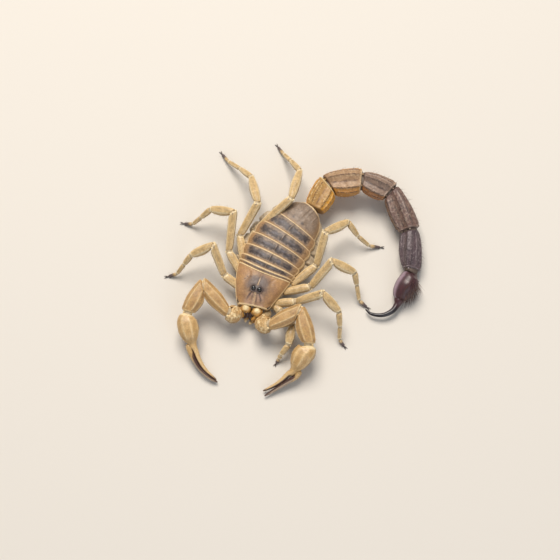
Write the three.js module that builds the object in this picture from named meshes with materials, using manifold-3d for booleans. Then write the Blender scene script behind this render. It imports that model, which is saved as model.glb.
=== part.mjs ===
// A thick-tailed desert scorpion, adult, life size, as a still model that rests on a level surface.
// Units are millimetres, +Z is up, the head looks towards -Y and the animal's left side is +X.
// Every length, width and height below is the real animal's; headings are degrees from +X, seen from above.
import * as THREE from 'three';
import Module from 'manifold-3d';
import { mergeVertices } from 'three/addons/utils/BufferGeometryUtils.js';

const wasm = await Module();
wasm.setup();

// ---------------------------------------------------------------- driving dimensions

const SEAM = 0.3; // clear gap between neighbouring pieces
// where the back of the carapace stands, from the middle of the footprint
const STAND_AT = { x: -3.3, y: -3.5 };

const TRUNK = {
  bend: 54, // radius of the trunk's sideways curve
  bendMiddle: 6, // where along the trunk that curve is deepest
  front: -9.8, // front edge of the carapace
  rear: 21.8, // rear edge of the last back plate
  rim: 5, // height of the shield's lower edge above the ground
};
// along the trunk from the carapace's rear edge: [place, half width of the shield]
const TRUNK_WIDTH = [[-9.8, 3.7], [-9.2, 4.5], [-7, 5.5], [-4.5, 6.45], [-1.5, 7.2], [2.6, 7.85],
  [6, 8.15], [10, 8.05], [13.5, 7.55], [16, 6.85], [18.6, 5.75], [20.4, 4.5], [21.8, 3]];
// [place, height of the shield's middle above its rim]
const TRUNK_DOME = [[-9.8, 0.8], [-9.2, 1.7], [-7.6, 3], [-5, 3.6], [-1, 3.4], [5, 3.5], [11, 3.4],
  [16, 2.9], [19, 2.6], [21.8, 2.2]];
// [place, depth of the underside below the rim]
const TRUNK_DEPTH = [[-9.8, 1.6], [-8.5, 2.6], [-5, 3.3], [0, 3.5], [17, 3.5], [20, 2.8], [21.8, 2]];
// Rear edges of the carapace and the seven back plates: [place at the sides, how far its middle lies forward]
const SHIELD_EDGES = [[-0.1, 1.1], [0.7, 0.9], [2.1, 0.4], [4.7, 0], [8, 0], [11.6, 0], [15.4, 0.1],
  [21.8, -0.4]];
const PLATE_STEP = 0.22; // how far each back plate's rear edge stands above the next plate
// how far the flank stands out past the shield, and the share of that which it loses by the rear
const FLANK = { most: 1.1, from: 1, full: 5, shrinks: 18, lost: 0.6 };

// the two median eyes, and the low round hill that they stand on
const EYE = { radius: 0.62, apart: 1.6, at: -6.3, height: 8.75 };
const EYE_HILL = { radius: 1.25, flatten: 0.62, below: 0.45 };

// Each walking leg: the point where it leaves the trunk, then [plan length, heading] of its six parts
const LEGS = {
  left_1: {
    root: [5.6, -6],
    parts: [[3.7, -19], [5.2, -26], [5.1, -71], [2.9, -103], [0.8, -100], [1.2, -93]],
  },
  left_2: {
    root: [6.4, -6],
    parts: [[5.7, 29], [7.1, 37], [6, -15], [3.2, -54], [2.5, -62], [2, -21]],
  },
  left_3: {
    root: [6.8, -2.3],
    parts: [[7.5, 39], [8, 75], [6.5, 9], [2.5, -45], [3.4, -48], [2.6, -7]],
  },
  left_4: {
    root: [7.6, 0.5],
    parts: [[8.6, 67], [8.2, 103], [7.4, 62], [4, -17], [3.5, 3], [3.1, 29]],
  },
  right_1: {
    root: [-2.9, -6.9],
    parts: [[6.1, 173], [7.4, 144], [6.1, -133], [2.5, -113], [2.6, -111], [2.5, -141]],
  },
  right_2: {
    root: [-4.4, -3.9],
    parts: [[8.1, 149], [9.6, 113], [6.4, -167], [3, -127], [2.4, -133], [2.6, -162]],
  },
  right_3: {
    root: [-5.9, -0.9],
    parts: [[8.4, 128], [9, 88], [9, 132], [4.8, 160], [4.9, 164], [3.2, 153]],
  },
  right_4: {
    root: [-7.2, 2.2],
    parts: [[7.2, 99], [12.1, 68], [9.4, 105], [4.9, 150], [3.8, 150], [3.2, 151]],
  },
};
// Heights of a leg's joints: root, trochanter, knee, patella, tibia, basitarsus, tip
const LEG_HEIGHTS = [4.1, 5.4, 9.6, 7.1, 4.3, 1.4, 0.14];
const LOW_LEG_HEIGHTS = [3.5, 3.8, 5, 4.4, 2.4, 1.2, 0.14]; // the front left leg passes under the pedipalp
const HIND_LEG_HEIGHTS = [3, 4.4, 9, 7.1, 4.3, 1.4, 0.14]; // the right hind leg comes from under the flank
// Half widths along a leg: [joints passed, across, deep]
const FEMUR_FORM = [[0, 0.8, 0.9], [0.45, 1.1, 1.2], [0.8, 1.15, 1.25], [1, 0.85, 0.95], [1.12, 0.95, 1.1],
  [1.5, 1.08, 1.25], [1.88, 1.12, 1.25], [2, 0.9, 1]];
const PATELLA_FORM = [[2, 0.8, 0.9], [2.2, 1.12, 1.25], [2.55, 1.2, 1.3], [2.88, 1.02, 1.1], [3, 0.72, 0.8]];
const FOOT_FORM = [[3, 0.68, 0.72], [3.25, 0.84, 0.9], [3.8, 0.72, 0.78], [4, 0.52, 0.56], [4.2, 0.62, 0.66],
  [4.85, 0.54, 0.56], [5, 0.4, 0.42], [5.25, 0.46, 0.5], [5.7, 0.45, 0.58], [6, 0.34, 0.4]];
const TOE_CLAW = { length: 1.3, rooted: 0.5, spread: 20, thick: 0.28, point: 0.16, drop: 0.15 };

// Each pedipalp: its root, then [plan length, heading, height of the far joint]
const PEDIPALPS = {
  left: {
    root: [4.7, -9, 4.1],
    parts: [[2.5, -80, 4.7], [3.9, -17, 6.6], [8.4, 51, 8.9], [8.6, -44, 6.6], [3.5, -92, 5.2],
      [3.9, -93, 3.6], [1.8, -118, 2.9], [2.4, -110, 2.1], [2.4, -120, 1.5], [2.2, -124, 1]],
    finger: {
      root: [21.4, -18.6, 3.4],
      parts: [[2.1, -87, 2.7], [2.8, -105, 2], [3.3, -113, 1.4], [4.3, -134, 0.9]],
    },
  },
  right: {
    root: [0, -9.6, 4.1],
    parts: [[3, -98, 4.8], [3.3, -132, 6.2], [9.3, 164, 8.2], [7.9, -91, 6.4], [4.3, -56, 5.2],
      [3.8, -44, 3.8], [1.9, -36, 3.3], [2.7, -37, 2.6], [3, -25, 2], [4.3, -10, 1]],
    finger: {
      root: [-7.8, -27.1, 3.5],
      parts: [[3.3, -38, 2.6], [3.5, -31, 1.8], [3.9, -20, 1.3], [3.3, 11, 0.8]],
    },
  },
};
// Half widths along a pedipalp: [joints passed, across, deep]
const TROCHANTER_FORM = [[0, 1.4, 1.4], [0.7, 2, 1.9], [1.3, 2.25, 2.1], [1.75, 2.1, 2], [2, 1.6, 1.6]];
const PALP_FEMUR_FORM = [[2, 1.35, 1.4], [2.2, 1.75, 1.7], [2.6, 1.95, 1.8], [2.9, 2, 1.85], [3, 1.6, 1.5]];
const PALP_PATELLA_FORM = [[3, 1.55, 1.5], [3.2, 2.1, 1.9], [3.55, 2.25, 2.05], [3.88, 1.95, 1.8],
  [4, 1.35, 1.3]];
const PALM_FORM = [[4, 1.3, 1.3], [4.2, 2.1, 1.9], [4.65, 2.65, 2.4], [5.1, 2.8, 2.5], [5.5, 2.45, 2.2],
  [5.85, 1.6, 1.6], [6, 1.15, 1.2], [7, 0.92, 0.95], [8, 0.75, 0.8], [9, 0.55, 0.6], [10, 0.27, 0.3]];
const FINGER_FORM = [[0, 0.8, 0.9], [0.3, 0.92, 1.05], [1, 0.88, 1], [2, 0.76, 0.85], [3, 0.55, 0.6],
  [4, 0.27, 0.3]];

const CHELICERAE = {
  left: { root: [3.75, -9.75, 5.4], parts: [[2.2, -86, 5.2], [1.7, -108, 4.3]] },
  right: { root: [0.55, -10.25, 5.4], parts: [[2.2, -80, 5.2], [1.7, -50, 4.3]] },
};
const CHELICERA_FORM = [[0, 1.1, 1], [0.4, 1.4, 1.2], [1, 1.3, 1.05], [1.45, 0.8, 0.7], [2, 0.26, 0.28]];

// The tail: [plan length, heading, height of the far joint, roll of the far joint in degrees]
const TAIL_ROOT = [2.7, 22, 5.6];
const TAIL = [[7.9, 92, 6.5, 6], [9.3, 37, 6.8, 14], [8.4, 9, 6.2, 26], [11.6, -35, 4.5, 42],
  [11, -58, 2.9, 64], [2.6, -93, 2.75, 72], [2.1, -80, 2.65, 76], [2.1, -84, 2.5, 80], [2.1, -83, 2.35, 82],
  [1.4, -89, 2.2, 82], [2.2, -95, 2.1, 82], [2.6, -122, 1.9, 82], [2.9, -158, 1.6, 82], [2.1, 169, 1.3, 82]];
// Half widths of one tail ring from its front joint to its rear joint: [share of its length, across, deep]
const RING_FORM = [[0, 0.74, 0.76], [0.09, 0.92, 0.92], [0.35, 1, 1], [0.7, 1, 1], [0.92, 0.96, 0.95],
  [1, 0.8, 0.82]];
const RING_SIZES = [[3.3, 2.7], [3.6, 3.1], [3.1, 2.9], [3.1, 2.7], [2.7, 2.55]]; // half width, half depth
const VESICLE_FORM = [[5, 1.5, 1.5], [5.3, 2.3, 2.3], [6, 3.1, 2.85], [7, 3.4, 2.95], [8, 2.85, 2.6],
  [8.6, 2.1, 2.2], [9, 1.5, 1.6]];
const STING_FORM = [[9, 1.3, 1.4], [9.5, 1.05, 1.15], [10, 0.85, 0.9], [11, 0.7, 0.72], [12, 0.56, 0.58],
  [13, 0.42, 0.44], [14, 0.16, 0.18]];

// The comb under each side of the trunk: where it starts, its plate, and the teeth along its rear edge
const COMB = { root: [1.2, 1.6], length: 7.5, wide: 1.1, thick: 0.55, height: 0.55, sweep: 52 };
const COMB_TEETH = { count: 16, length: 0.9, from: 0.25, crown: [0.35, 0.9] };

// ---------------------------------------------------------------- materials

const shell = (color, roughness) => new THREE.MeshStandardMaterial({ color, roughness, metalness: 0 });
const CARAPACE = shell('#a98358', 0.55);
const BACK = shell('#7f7062', 0.5);
const UNDERSIDE = shell('#cdb287', 0.6);
const STRAW = shell('#d6ba82', 0.45);
const PALM = shell('#d2ad6a', 0.35);
const AMBER = shell('#cf9a42', 0.35);
const DARK_CLAW = shell('#5b3d2c', 0.4);
const EYE_BLACK = shell('#0c0a0a', 0.1);
const TAIL_SHELLS = ['#c0965a', '#a88560', '#7e6858', '#857070', '#5c4b4d'].map((color) => shell(color, 0.5));
const TELSON = shell('#5e3f41', 0.3);
const STING = shell('#2b2330', 0.25);

// ---------------------------------------------------------------- shape tools

const UP = new THREE.Vector3(0, 0, 1);
const radians = THREE.MathUtils.degToRad;
const point = (values) => new THREE.Vector3(...values);

/** Value at a place, on the straight lines through [place, value] stops. */
function graph(stops, place) {
  const beyond = stops.findIndex((stop) => stop[0] >= place);
  const next = beyond < 0 ? stops.length - 1 : Math.max(1, beyond);
  const [from, to] = [stops[next - 1], stops[next]];
  return THREE.MathUtils.mapLinear(place, from[0], to[0], from[1], to[1]);
}

/** Unit outline of a limb: a superellipse, from its top round by the +across side. */
function oval(count, power = 2, turn = 0) {
  const bulge = (value) => Math.sign(value) * Math.abs(value) ** (2 / power);
  return Array.from({ length: count }, (_, k) => {
    const angle = (2 * Math.PI * (k + turn)) / count;
    return [bulge(Math.sin(angle)), bulge(Math.cos(angle))];
  });
}

/** A closed skin through rings of points: a unit cylinder whose rings are moved to their places. */
function skin(rings) {
  const sides = rings[0].length;
  const blank = new THREE.CylinderGeometry(1, 1, 1, sides, rings.length - 1);
  const place = blank.attributes.position;
  for (let i = 0; i < place.count; i += 1) {
    const ring = rings[Math.round((0.5 - place.getY(i)) * (rings.length - 1))];
    const angle = Math.atan2(place.getX(i), place.getZ(i));
    const turn = (Math.round((angle / (2 * Math.PI)) * sides) + sides) % sides;
    const onAxis = Math.hypot(place.getX(i), place.getZ(i)) < 0.5;
    const middle = ring.reduce((sum, corner) => sum.add(corner), new THREE.Vector3()).divideScalar(sides);
    const target = onAxis ? middle : ring[turn];
    place.setXYZ(i, target.x, target.y, target.z);
  }
  return merged(blank);
}

/** The same geometry with position only and its shared corners merged. */
function merged(geometry) {
  geometry.deleteAttribute('normal');
  geometry.deleteAttribute('uv');
  const whole = mergeVertices(geometry, 1e-4);
  whole.computeVertexNormals();
  return whole;
}

/** Joints of a limb from its root and its steps of [plan length, heading, height of the far joint]. */
function reach(root, steps) {
  const joints = [point(root)];
  for (const [length, heading, height] of steps) {
    const last = joints.at(-1);
    const x = last.x + length * Math.cos(radians(heading));
    const y = last.y + length * Math.sin(radians(heading));
    joints.push(new THREE.Vector3(x, y, height));
  }
  return joints;
}

/** Plane across a limb at a joint: it halves the bend there. */
function mitre(joints, index) {
  const before = joints[Math.max(index - 1, 0)];
  const here = joints[index];
  const after = joints[Math.min(index + 1, joints.length - 1)];
  const arriving = here.clone().sub(before).normalize();
  const leaving = after.clone().sub(here).normalize();
  return arriving.add(leaving).normalize();
}

/**
 * One piece of a limb between two of its joints, as rings that turn into each joint's mitre plane.
 * Its ends stop half a seam short of their joints, so that the next piece meets it face to face.
 * A spare makes it larger all round, as the room that its neighbours leave for it.
 */
function limb(joints, form, outline, { rolls = null, spare = 0 } = {}) {
  const last = form.length - 1;
  const rings = form.map(([place, wide, deep], index) => {
    const span = Math.min(Math.floor(index === last ? place - 0.5 : place + 1e-6), joints.length - 2);
    const share = place - span;
    const along = joints[span + 1].clone().sub(joints[span]).normalize();
    const nearest = mitre(joints, share < 0.5 ? span : span + 1);
    const plane = nearest.lerp(along, 1 - Math.abs(2 * share - 1)).normalize();
    const centre = joints[span].clone().lerp(joints[span + 1], share);
    const towardsMiddle = index === 0 ? 1 : index === last ? -1 : 0;
    const inset = towardsMiddle * (SEAM / 2 - spare);
    centre.addScaledVector(along, inset / along.dot(plane));
    const across = UP.clone().cross(along).normalize();
    const over = along.clone().cross(across);
    const roll = rolls ? radians(THREE.MathUtils.lerp(rolls[span], rolls[span + 1], share)) : 0;
    return outline.map(([side, high]) => {
      const [a, b] = [side * (wide + spare), high * (deep + spare)];
      const x = a * Math.cos(roll) - b * Math.sin(roll);
      const z = a * Math.sin(roll) + b * Math.cos(roll);
      const offset = across.clone().multiplyScalar(x).addScaledVector(over, z);
      offset.addScaledVector(along, -offset.dot(plane) / along.dot(plane));
      return offset.add(centre);
    });
  });
  return skin(rings);
}

/** Flattens whatever hangs below the ground, which leaves a level patch to rest on. */
function stood(geometry) {
  const place = geometry.attributes.position;
  for (let i = 0; i < place.count; i += 1) {
    place.setZ(i, Math.max(place.getZ(i), 0));
  }
  return geometry;
}

function toSolid(geometry) {
  const vertProperties = new Float32Array(geometry.attributes.position.array);
  const triVerts = new Uint32Array(geometry.index.array);
  return new wasm.Manifold(new wasm.Mesh({ numProp: 3, vertProperties, triVerts }));
}

function toGeometry(solid) {
  const mesh = solid.getMesh();
  const geometry = new THREE.BufferGeometry();
  geometry.setAttribute('position', new THREE.BufferAttribute(new Float32Array(mesh.vertProperties), 3));
  geometry.setIndex(new THREE.BufferAttribute(new Uint32Array(mesh.triVerts), 1));
  geometry.computeVertexNormals();
  return geometry;
}

/** The geometry with others cut away from it; loose crumbs of the cut are dropped. */
function cutClear(geometry, ...others) {
  const rest = others.reduce((solid, other) => solid.subtract(toSolid(other)), toSolid(geometry));
  const pieces = rest.decompose().sort((one, two) => two.volume() - one.volume());
  return toGeometry(pieces[0]);
}

function joined(geometry, ...others) {
  return toGeometry(others.reduce((solid, other) => solid.add(toSolid(other)), toSolid(geometry)));
}

const BALL_SIDES = 10;
function ball(centre, radius, flatten = 1) {
  const geometry = new THREE.SphereGeometry(radius, BALL_SIDES, BALL_SIDES / 2);
  geometry.rotateX(Math.PI / 2);
  geometry.scale(1, 1, flatten);
  geometry.translate(centre.x, centre.y, centre.z);
  return merged(geometry);
}

// ---------------------------------------------------------------- the model's groups

const scorpion = new THREE.Group();
scorpion.name = 'desert_scorpion';
scorpion.position.set(STAND_AT.x, STAND_AT.y, 0);

function region(name) {
  const group = new THREE.Group();
  group.name = name;
  scorpion.add(group);
  return group;
}

/** Adds one named piece whose own origin is at the given point. */
function addPiece(group, name, geometry, material, origin) {
  geometry.translate(-origin.x, -origin.y, -origin.z);
  const mesh = new THREE.Mesh(geometry, material);
  mesh.name = name;
  mesh.position.copy(origin);
  group.add(mesh);
}

// ---------------------------------------------------------------- trunk

/** Point of the trunk's midline at rim height, with the direction that runs to the rear. */
function midline(place) {
  const turn = (place - TRUNK.bendMiddle) / TRUNK.bend;
  const start = TRUNK.bendMiddle / TRUNK.bend;
  const x = TRUNK.bend * (Math.cos(start) - Math.cos(turn));
  const y = TRUNK.bend * (Math.sin(turn) + Math.sin(start));
  const rearward = new THREE.Vector3(Math.sin(turn), Math.cos(turn), 0);
  return { at: new THREE.Vector3(x, y, TRUNK.rim), rearward };
}

const ARCH_STEPS = 12;
/** Unit arch of a shield, from one rim over the top to the other. */
const ARCH = Array.from({ length: ARCH_STEPS + 1 }, (_, k) => {
  const angle = Math.PI * (k / ARCH_STEPS - 0.5);
  return [Math.sin(angle), Math.cos(angle) ** 0.85];
});
const BOWL_STEPS = 8;
/** Unit bowl of the underside, from one rim under the belly to the other. */
const BOWL = Array.from({ length: BOWL_STEPS + 1 }, (_, k) => {
  const angle = Math.PI * (k / BOWL_STEPS + 0.5);
  return [Math.sin(angle), Math.sign(Math.cos(angle)) * Math.abs(Math.cos(angle)) ** 0.6];
});

/**
 * A ring across the trunk: an outline scaled to a half width and a height and lifted from the rim.
 * A bowed ring's middle lies forward of its sides.
 */
function trunkRing(place, outline, wide, high, { lift = 0, bow = 0 } = {}) {
  const { at, rearward } = midline(place);
  const across = UP.clone().cross(rearward);
  return outline.map(([side, up]) => at.clone()
    .addScaledVector(across, side * wide)
    .addScaledVector(rearward, -bow * (1 - side ** 2))
    .addScaledVector(UP, up * high + lift));
}

const shieldWidth = (place) => graph(TRUNK_WIDTH, place);
const shieldHeight = (place) => graph(TRUNK_DOME, place);
const shieldRing = (place, lift = 0, bow = 0) => trunkRing(
  place, ARCH, shieldWidth(place), shieldHeight(place) + lift, { bow },
);
const flank = (place) => FLANK.most * THREE.MathUtils.smoothstep(place, FLANK.from, FLANK.full)
  * (1 - FLANK.lost * THREE.MathUtils.smoothstep(place, FLANK.shrinks, TRUNK.rear));
const underRing = (place, spare) => trunkRing(
  place, BOWL, shieldWidth(place) + spare, graph(TRUNK_DEPTH, place) - SEAM, { lift: -SEAM },
);

/** The whole trunk, wider all round by the seam, for cutting limbs clear of it. */
function trunkClearance() {
  const inner = TRUNK_WIDTH.slice(1, -1).map((stop) => stop[0]);
  const places = [TRUNK.front - SEAM, ...inner, TRUNK.rear + SEAM];
  const rings = places.map((place) => {
    const wide = shieldWidth(place);
    const bow = place > TRUNK.rear ? SHIELD_EDGES.at(-1)[1] : 0;
    const over = trunkRing(place, ARCH, wide + SEAM, shieldHeight(place) + PLATE_STEP + SEAM, { bow });
    const wider = wide + flank(place) + SEAM;
    const under = trunkRing(place, BOWL, wider, graph(TRUNK_DEPTH, place) + SEAM, { lift: -0.01, bow });
    return [...over, ...under];
  });
  return skin(rings);
}

const prosoma = region('prosoma');
const carapaceRear = midline(0).at;
const [carapaceEdge, carapaceBow] = SHIELD_EDGES[0];
const carapaceBows = [[TRUNK.front, 0], [-9.2, 0], [-7.6, 0], [-5, 0], [-2.5, 0.5],
  [carapaceEdge - SEAM / 2, carapaceBow]];
const carapaceRings = carapaceBows.map(([place, bow]) => shieldRing(place, 0, bow));
const eyeSpots = ['left', 'right'].map((side) => {
  const { at, rearward } = midline(EYE.at);
  const across = UP.clone().cross(rearward);
  const shift = side === 'left' ? -EYE.apart / 2 : EYE.apart / 2;
  const spot = at.clone().addScaledVector(across, shift).setZ(EYE.height);
  return { side, spot };
});
const hillTop = midline(EYE.at).at.clone().setZ(EYE.height - EYE_HILL.below);
const eyeHill = ball(hillTop, EYE_HILL.radius, EYE_HILL.flatten);
const shieldWithHill = joined(skin(carapaceRings), eyeHill);
const sockets = eyeSpots.map(({ spot }) => ball(spot, EYE.radius + SEAM));
addPiece(prosoma, 'carapace', cutClear(shieldWithHill, ...sockets), CARAPACE, carapaceRear);
for (const { side, spot } of eyeSpots) {
  addPiece(prosoma, `median_eye_${side}`, ball(spot, EYE.radius), EYE_BLACK, spot);
}
const coxaPlaces = [TRUNK.front + 0.6, -8.5, -5, -2, 1.2];
const coxae = skin(coxaPlaces.map((place) => underRing(place, -0.5)));
addPiece(prosoma, 'coxae_sternum', coxae, UNDERSIDE, carapaceRear);

const mesosoma = region('mesosoma');
for (let plate = 1; plate < SHIELD_EDGES.length; plate += 1) {
  const [[front, frontBow], [rear, rearBow]] = [SHIELD_EDGES[plate - 1], SHIELD_EDGES[plate]];
  const inner = TRUNK_WIDTH.map((stop) => stop[0]).filter((place) => place > front + 1 && place < rear - 1);
  const places = [front + SEAM / 2, ...(inner.length ? inner : [(front + rear) / 2]), rear - SEAM / 2];
  const rings = places.map((place) => {
    const share = (place - places[0]) / (places.at(-1) - places[0]);
    return shieldRing(place, PLATE_STEP * share, THREE.MathUtils.lerp(frontBow, rearBow, share));
  });
  addPiece(mesosoma, `tergite_${plate}`, skin(rings), BACK, midline(rear).at);
}
const bellyPlaces = [1.2 + SEAM, 3, 6, 10, 13.5, 16, 18.6, 20.4, TRUNK.rear - SEAM / 2];
const belly = skin(bellyPlaces.map((place) => underRing(place, flank(place))));
addPiece(mesosoma, 'belly', belly, UNDERSIDE, midline(TRUNK.bendMiddle).at);

/** A comb-shaped plate under the trunk, with its teeth along the rear edge. */
function comb(side) {
  const outline = new THREE.Shape();
  outline.moveTo(0, 0);
  outline.lineTo(0, -COMB.wide);
  outline.lineTo(COMB.length * 0.8, -COMB.wide * 0.8);
  outline.lineTo(COMB.length, 0);
  const pitch = COMB.length / COMB_TEETH.count;
  const [inner, outer] = COMB_TEETH.crown;
  for (let tooth = COMB_TEETH.count - 1; tooth >= 0; tooth -= 1) {
    outline.lineTo(pitch * (tooth + outer), COMB_TEETH.length);
    outline.lineTo(pitch * (tooth + inner), COMB_TEETH.length);
    outline.lineTo(pitch * (tooth + COMB_TEETH.from), 0);
  }
  const geometry = new THREE.ExtrudeGeometry(outline, { depth: COMB.thick, bevelEnabled: false });
  if (side === 'right') {
    geometry.scale(-1, 1, 1);
    const swapped = merged(geometry);
    const corners = swapped.index.array;
    for (let i = 0; i < corners.length; i += 3) {
      [corners[i], corners[i + 1]] = [corners[i + 1], corners[i]];
    }
    swapped.rotateZ(radians(-90 + COMB.sweep));
    return swapped;
  }
  geometry.rotateZ(radians(90 - COMB.sweep));
  return merged(geometry);
}
for (const side of ['left', 'right']) {
  const root = midline(COMB.root[1]).at.setZ(COMB.height);
  root.x += side === 'left' ? COMB.root[0] : -COMB.root[0];
  const geometry = comb(side);
  geometry.translate(root.x, root.y, root.z);
  addPiece(mesosoma, `pectine_${side}`, geometry, UNDERSIDE, root);
}

// ---------------------------------------------------------------- mouthparts and pedipalps

const trunkSpace = trunkClearance();
const CHELICERA_OUTLINE = oval(8, 2.3);
const PALP_OUTLINE = oval(10, 2.4);
const FINGER_OUTLINE = oval(8, 2.2);
const mouth = region('mouthparts');
const cheliceraSpaces = [];
for (const [side, { root, parts }] of Object.entries(CHELICERAE)) {
  const joints = reach(root, parts);
  cheliceraSpaces.push(limb(joints, CHELICERA_FORM, CHELICERA_OUTLINE, { spare: SEAM }));
  const geometry = cutClear(limb(joints, CHELICERA_FORM, CHELICERA_OUTLINE), trunkSpace);
  addPiece(mouth, `chelicera_${side}`, geometry, AMBER, joints[0]);
}

for (const [side, { root, parts, finger }] of Object.entries(PEDIPALPS)) {
  const arm = region(`pedipalp_${side}`);
  const joints = reach(root, parts);
  const fingerJoints = reach(finger.root, finger.parts);
  const trochanter = cutClear(limb(joints, TROCHANTER_FORM, PALP_OUTLINE), trunkSpace, ...cheliceraSpaces);
  addPiece(arm, `pedipalp_${side}_trochanter`, trochanter, STRAW, joints[1]);
  addPiece(arm, `pedipalp_${side}_femur`, limb(joints, PALP_FEMUR_FORM, PALP_OUTLINE), STRAW, joints[2]);
  addPiece(arm, `pedipalp_${side}_patella`, limb(joints, PALP_PATELLA_FORM, PALP_OUTLINE), STRAW, joints[3]);
  const fingerSpace = limb(fingerJoints, FINGER_FORM, FINGER_OUTLINE, { spare: SEAM });
  const palm = cutClear(limb(joints, PALM_FORM, PALP_OUTLINE), fingerSpace);
  addPiece(arm, `pedipalp_${side}_palm`, palm, PALM, joints[4]);
  const movable = limb(fingerJoints, FINGER_FORM, FINGER_OUTLINE);
  addPiece(arm, `pedipalp_${side}_movable_finger`, movable, DARK_CLAW, fingerJoints[0]);
}

// ---------------------------------------------------------------- walking legs

const LEG_OUTLINE = oval(8, 2.2);
const FOOT_OUTLINE = oval(6, 2, 0.5); // turned so that a flat faces the ground

/** Two small curved claws at the tip of a leg. */
function toeClaws(joints) {
  const tip = joints.at(-1);
  const heel = joints.at(-2);
  const heading = Math.atan2(tip.y - heel.y, tip.x - heel.x);
  return [-1, 1].map((side) => {
    const turned = heading + radians(side * TOE_CLAW.spread);
    const outward = new THREE.Vector3(Math.cos(turned), Math.sin(turned), 0);
    const start = tip.clone().addScaledVector(outward, -TOE_CLAW.rooted);
    const middle = tip.clone().addScaledVector(outward, TOE_CLAW.length * 0.5);
    const end = tip.clone().addScaledVector(outward, TOE_CLAW.length).setZ(tip.z - TOE_CLAW.drop);
    const form = [[0, TOE_CLAW.thick], [1, TOE_CLAW.thick], [2, TOE_CLAW.point]];
    return limb([start, middle, end], form.map(([place, half]) => [place, half, half]), FOOT_OUTLINE);
  });
}

let legAhead = [];
for (const [name, { root, parts }] of Object.entries(LEGS)) {
  const leg = region(`leg_${name}`);
  const heights = { left_1: LOW_LEG_HEIGHTS, right_4: HIND_LEG_HEIGHTS }[name] ?? LEG_HEIGHTS;
  const steps = parts.map(([length, heading], index) => [length, heading, heights[index + 1]]);
  const joints = reach([...root, heights[0]], steps);
  const femur = cutClear(limb(joints, FEMUR_FORM, LEG_OUTLINE), trunkSpace, ...legAhead);
  legAhead = [limb(joints, FEMUR_FORM, LEG_OUTLINE, { spare: SEAM })];
  addPiece(leg, `leg_${name}_femur`, femur, STRAW, joints[1]);
  addPiece(leg, `leg_${name}_patella`, limb(joints, PATELLA_FORM, LEG_OUTLINE), STRAW, joints[2]);
  const foot = joined(stood(limb(joints, FOOT_FORM, FOOT_OUTLINE)), ...toeClaws(joints).map(stood));
  addPiece(leg, `leg_${name}_foot`, foot, STRAW, joints[3]);
}

// ---------------------------------------------------------------- tail

/** Unit outline of a tail ring: two keels along the back, a furrow between them, and keels on each side. */
const TAIL_HALF = [[0, 0.84], [0.5, 1], [0.86, 0.66], [1, 0.08], [0.88, -0.56], [0.45, -0.98]];
const OTHER_HALF = TAIL_HALF.slice(1).reverse().map(([side, high]) => [-side, high]);
const TAIL_OUTLINE = [...TAIL_HALF, [0, -1], ...OTHER_HALF];
const metasoma = region('metasoma');
const tailJoints = reach(TAIL_ROOT, TAIL);
const rolls = [0, ...TAIL.map((step) => step[3])];
RING_SIZES.forEach(([wide, deep], index) => {
  const form = RING_FORM.map(([share, across, over]) => [index + share, wide * across, deep * over]);
  const ring = limb(tailJoints, form, TAIL_OUTLINE, { rolls });
  const clear = index === 0 ? cutClear(ring, trunkSpace) : ring;
  addPiece(metasoma, `tail_${index + 1}`, stood(clear), TAIL_SHELLS[index], tailJoints[index]);
});
const TELSON_OUTLINE = oval(12);
const vesicle = stood(limb(tailJoints, VESICLE_FORM, TELSON_OUTLINE, { rolls }));
addPiece(metasoma, 'telson_vesicle', vesicle, TELSON, tailJoints[5]);
const sting = limb(tailJoints, STING_FORM, FINGER_OUTLINE, { rolls });
addPiece(metasoma, 'telson_sting', sting, STING, tailJoints[9]);

export default scorpion;
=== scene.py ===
# %% [markdown]
# # A desert scorpion at life size
#
# The animal is an adult thick-tailed scorpion of sandy country, about 95 mm from mouth to sting, as a
# museum shows it: still, head forward, claws held low and the tail curled flat beside it. A scorpion
# wears its skeleton outside, so nearly every surface here is a plate or a tube of hard cuticle, joined
# to the next by soft folded skin.
#
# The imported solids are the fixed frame. Each is dressed with a finer shell of the same size: keels,
# grains, rims, soft joints and bristles. Sizes are in millimetres until a mesh is made in metres.

# %% The fixed frame
import math
import bpy
import numpy as np
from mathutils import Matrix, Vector


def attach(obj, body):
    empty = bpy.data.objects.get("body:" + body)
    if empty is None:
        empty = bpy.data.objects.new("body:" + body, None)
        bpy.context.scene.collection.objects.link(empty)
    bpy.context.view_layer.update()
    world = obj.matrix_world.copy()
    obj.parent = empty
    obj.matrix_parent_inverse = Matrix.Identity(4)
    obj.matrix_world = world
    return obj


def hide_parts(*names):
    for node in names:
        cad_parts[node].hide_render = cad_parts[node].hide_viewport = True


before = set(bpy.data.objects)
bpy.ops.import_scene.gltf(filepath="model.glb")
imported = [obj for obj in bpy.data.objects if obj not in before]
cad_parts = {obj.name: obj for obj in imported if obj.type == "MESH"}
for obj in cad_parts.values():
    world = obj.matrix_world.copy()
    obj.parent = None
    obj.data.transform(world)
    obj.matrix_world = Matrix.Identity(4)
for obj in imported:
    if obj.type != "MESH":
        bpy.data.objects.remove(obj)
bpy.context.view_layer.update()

print("solids in the frame:", len(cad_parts))

# %% [markdown]
# ## The camera and the light
#
# The view looks down steeply, 70 degrees above the ground, from the animal's front left. A long lens
# from 42 cm keeps the legs from leaning outwards. Light under an open sky is broad and soft: a pale
# world fills the shadows, and one large lamp to the upper left shapes the plates. The
# floor is a sheet of pale matt board, the neutral ground of a display.

# %% Camera
MM = 0.001
LENS, SENSOR = 100, 36
VIEW_FROM, VIEW_UP, VIEW_DISTANCE = math.radians(30), math.radians(70), 420 * MM
VIEW_TARGET = Vector((0.34 * MM, -1.76 * MM, 0))
NEAREST_SEEN = 10 * MM


def aimed_at_target(place):
    """The turn that points a lamp or the camera from its place at the animal."""
    return (VIEW_TARGET - Vector(place)).to_track_quat("-Z", "Y").to_euler()


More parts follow.
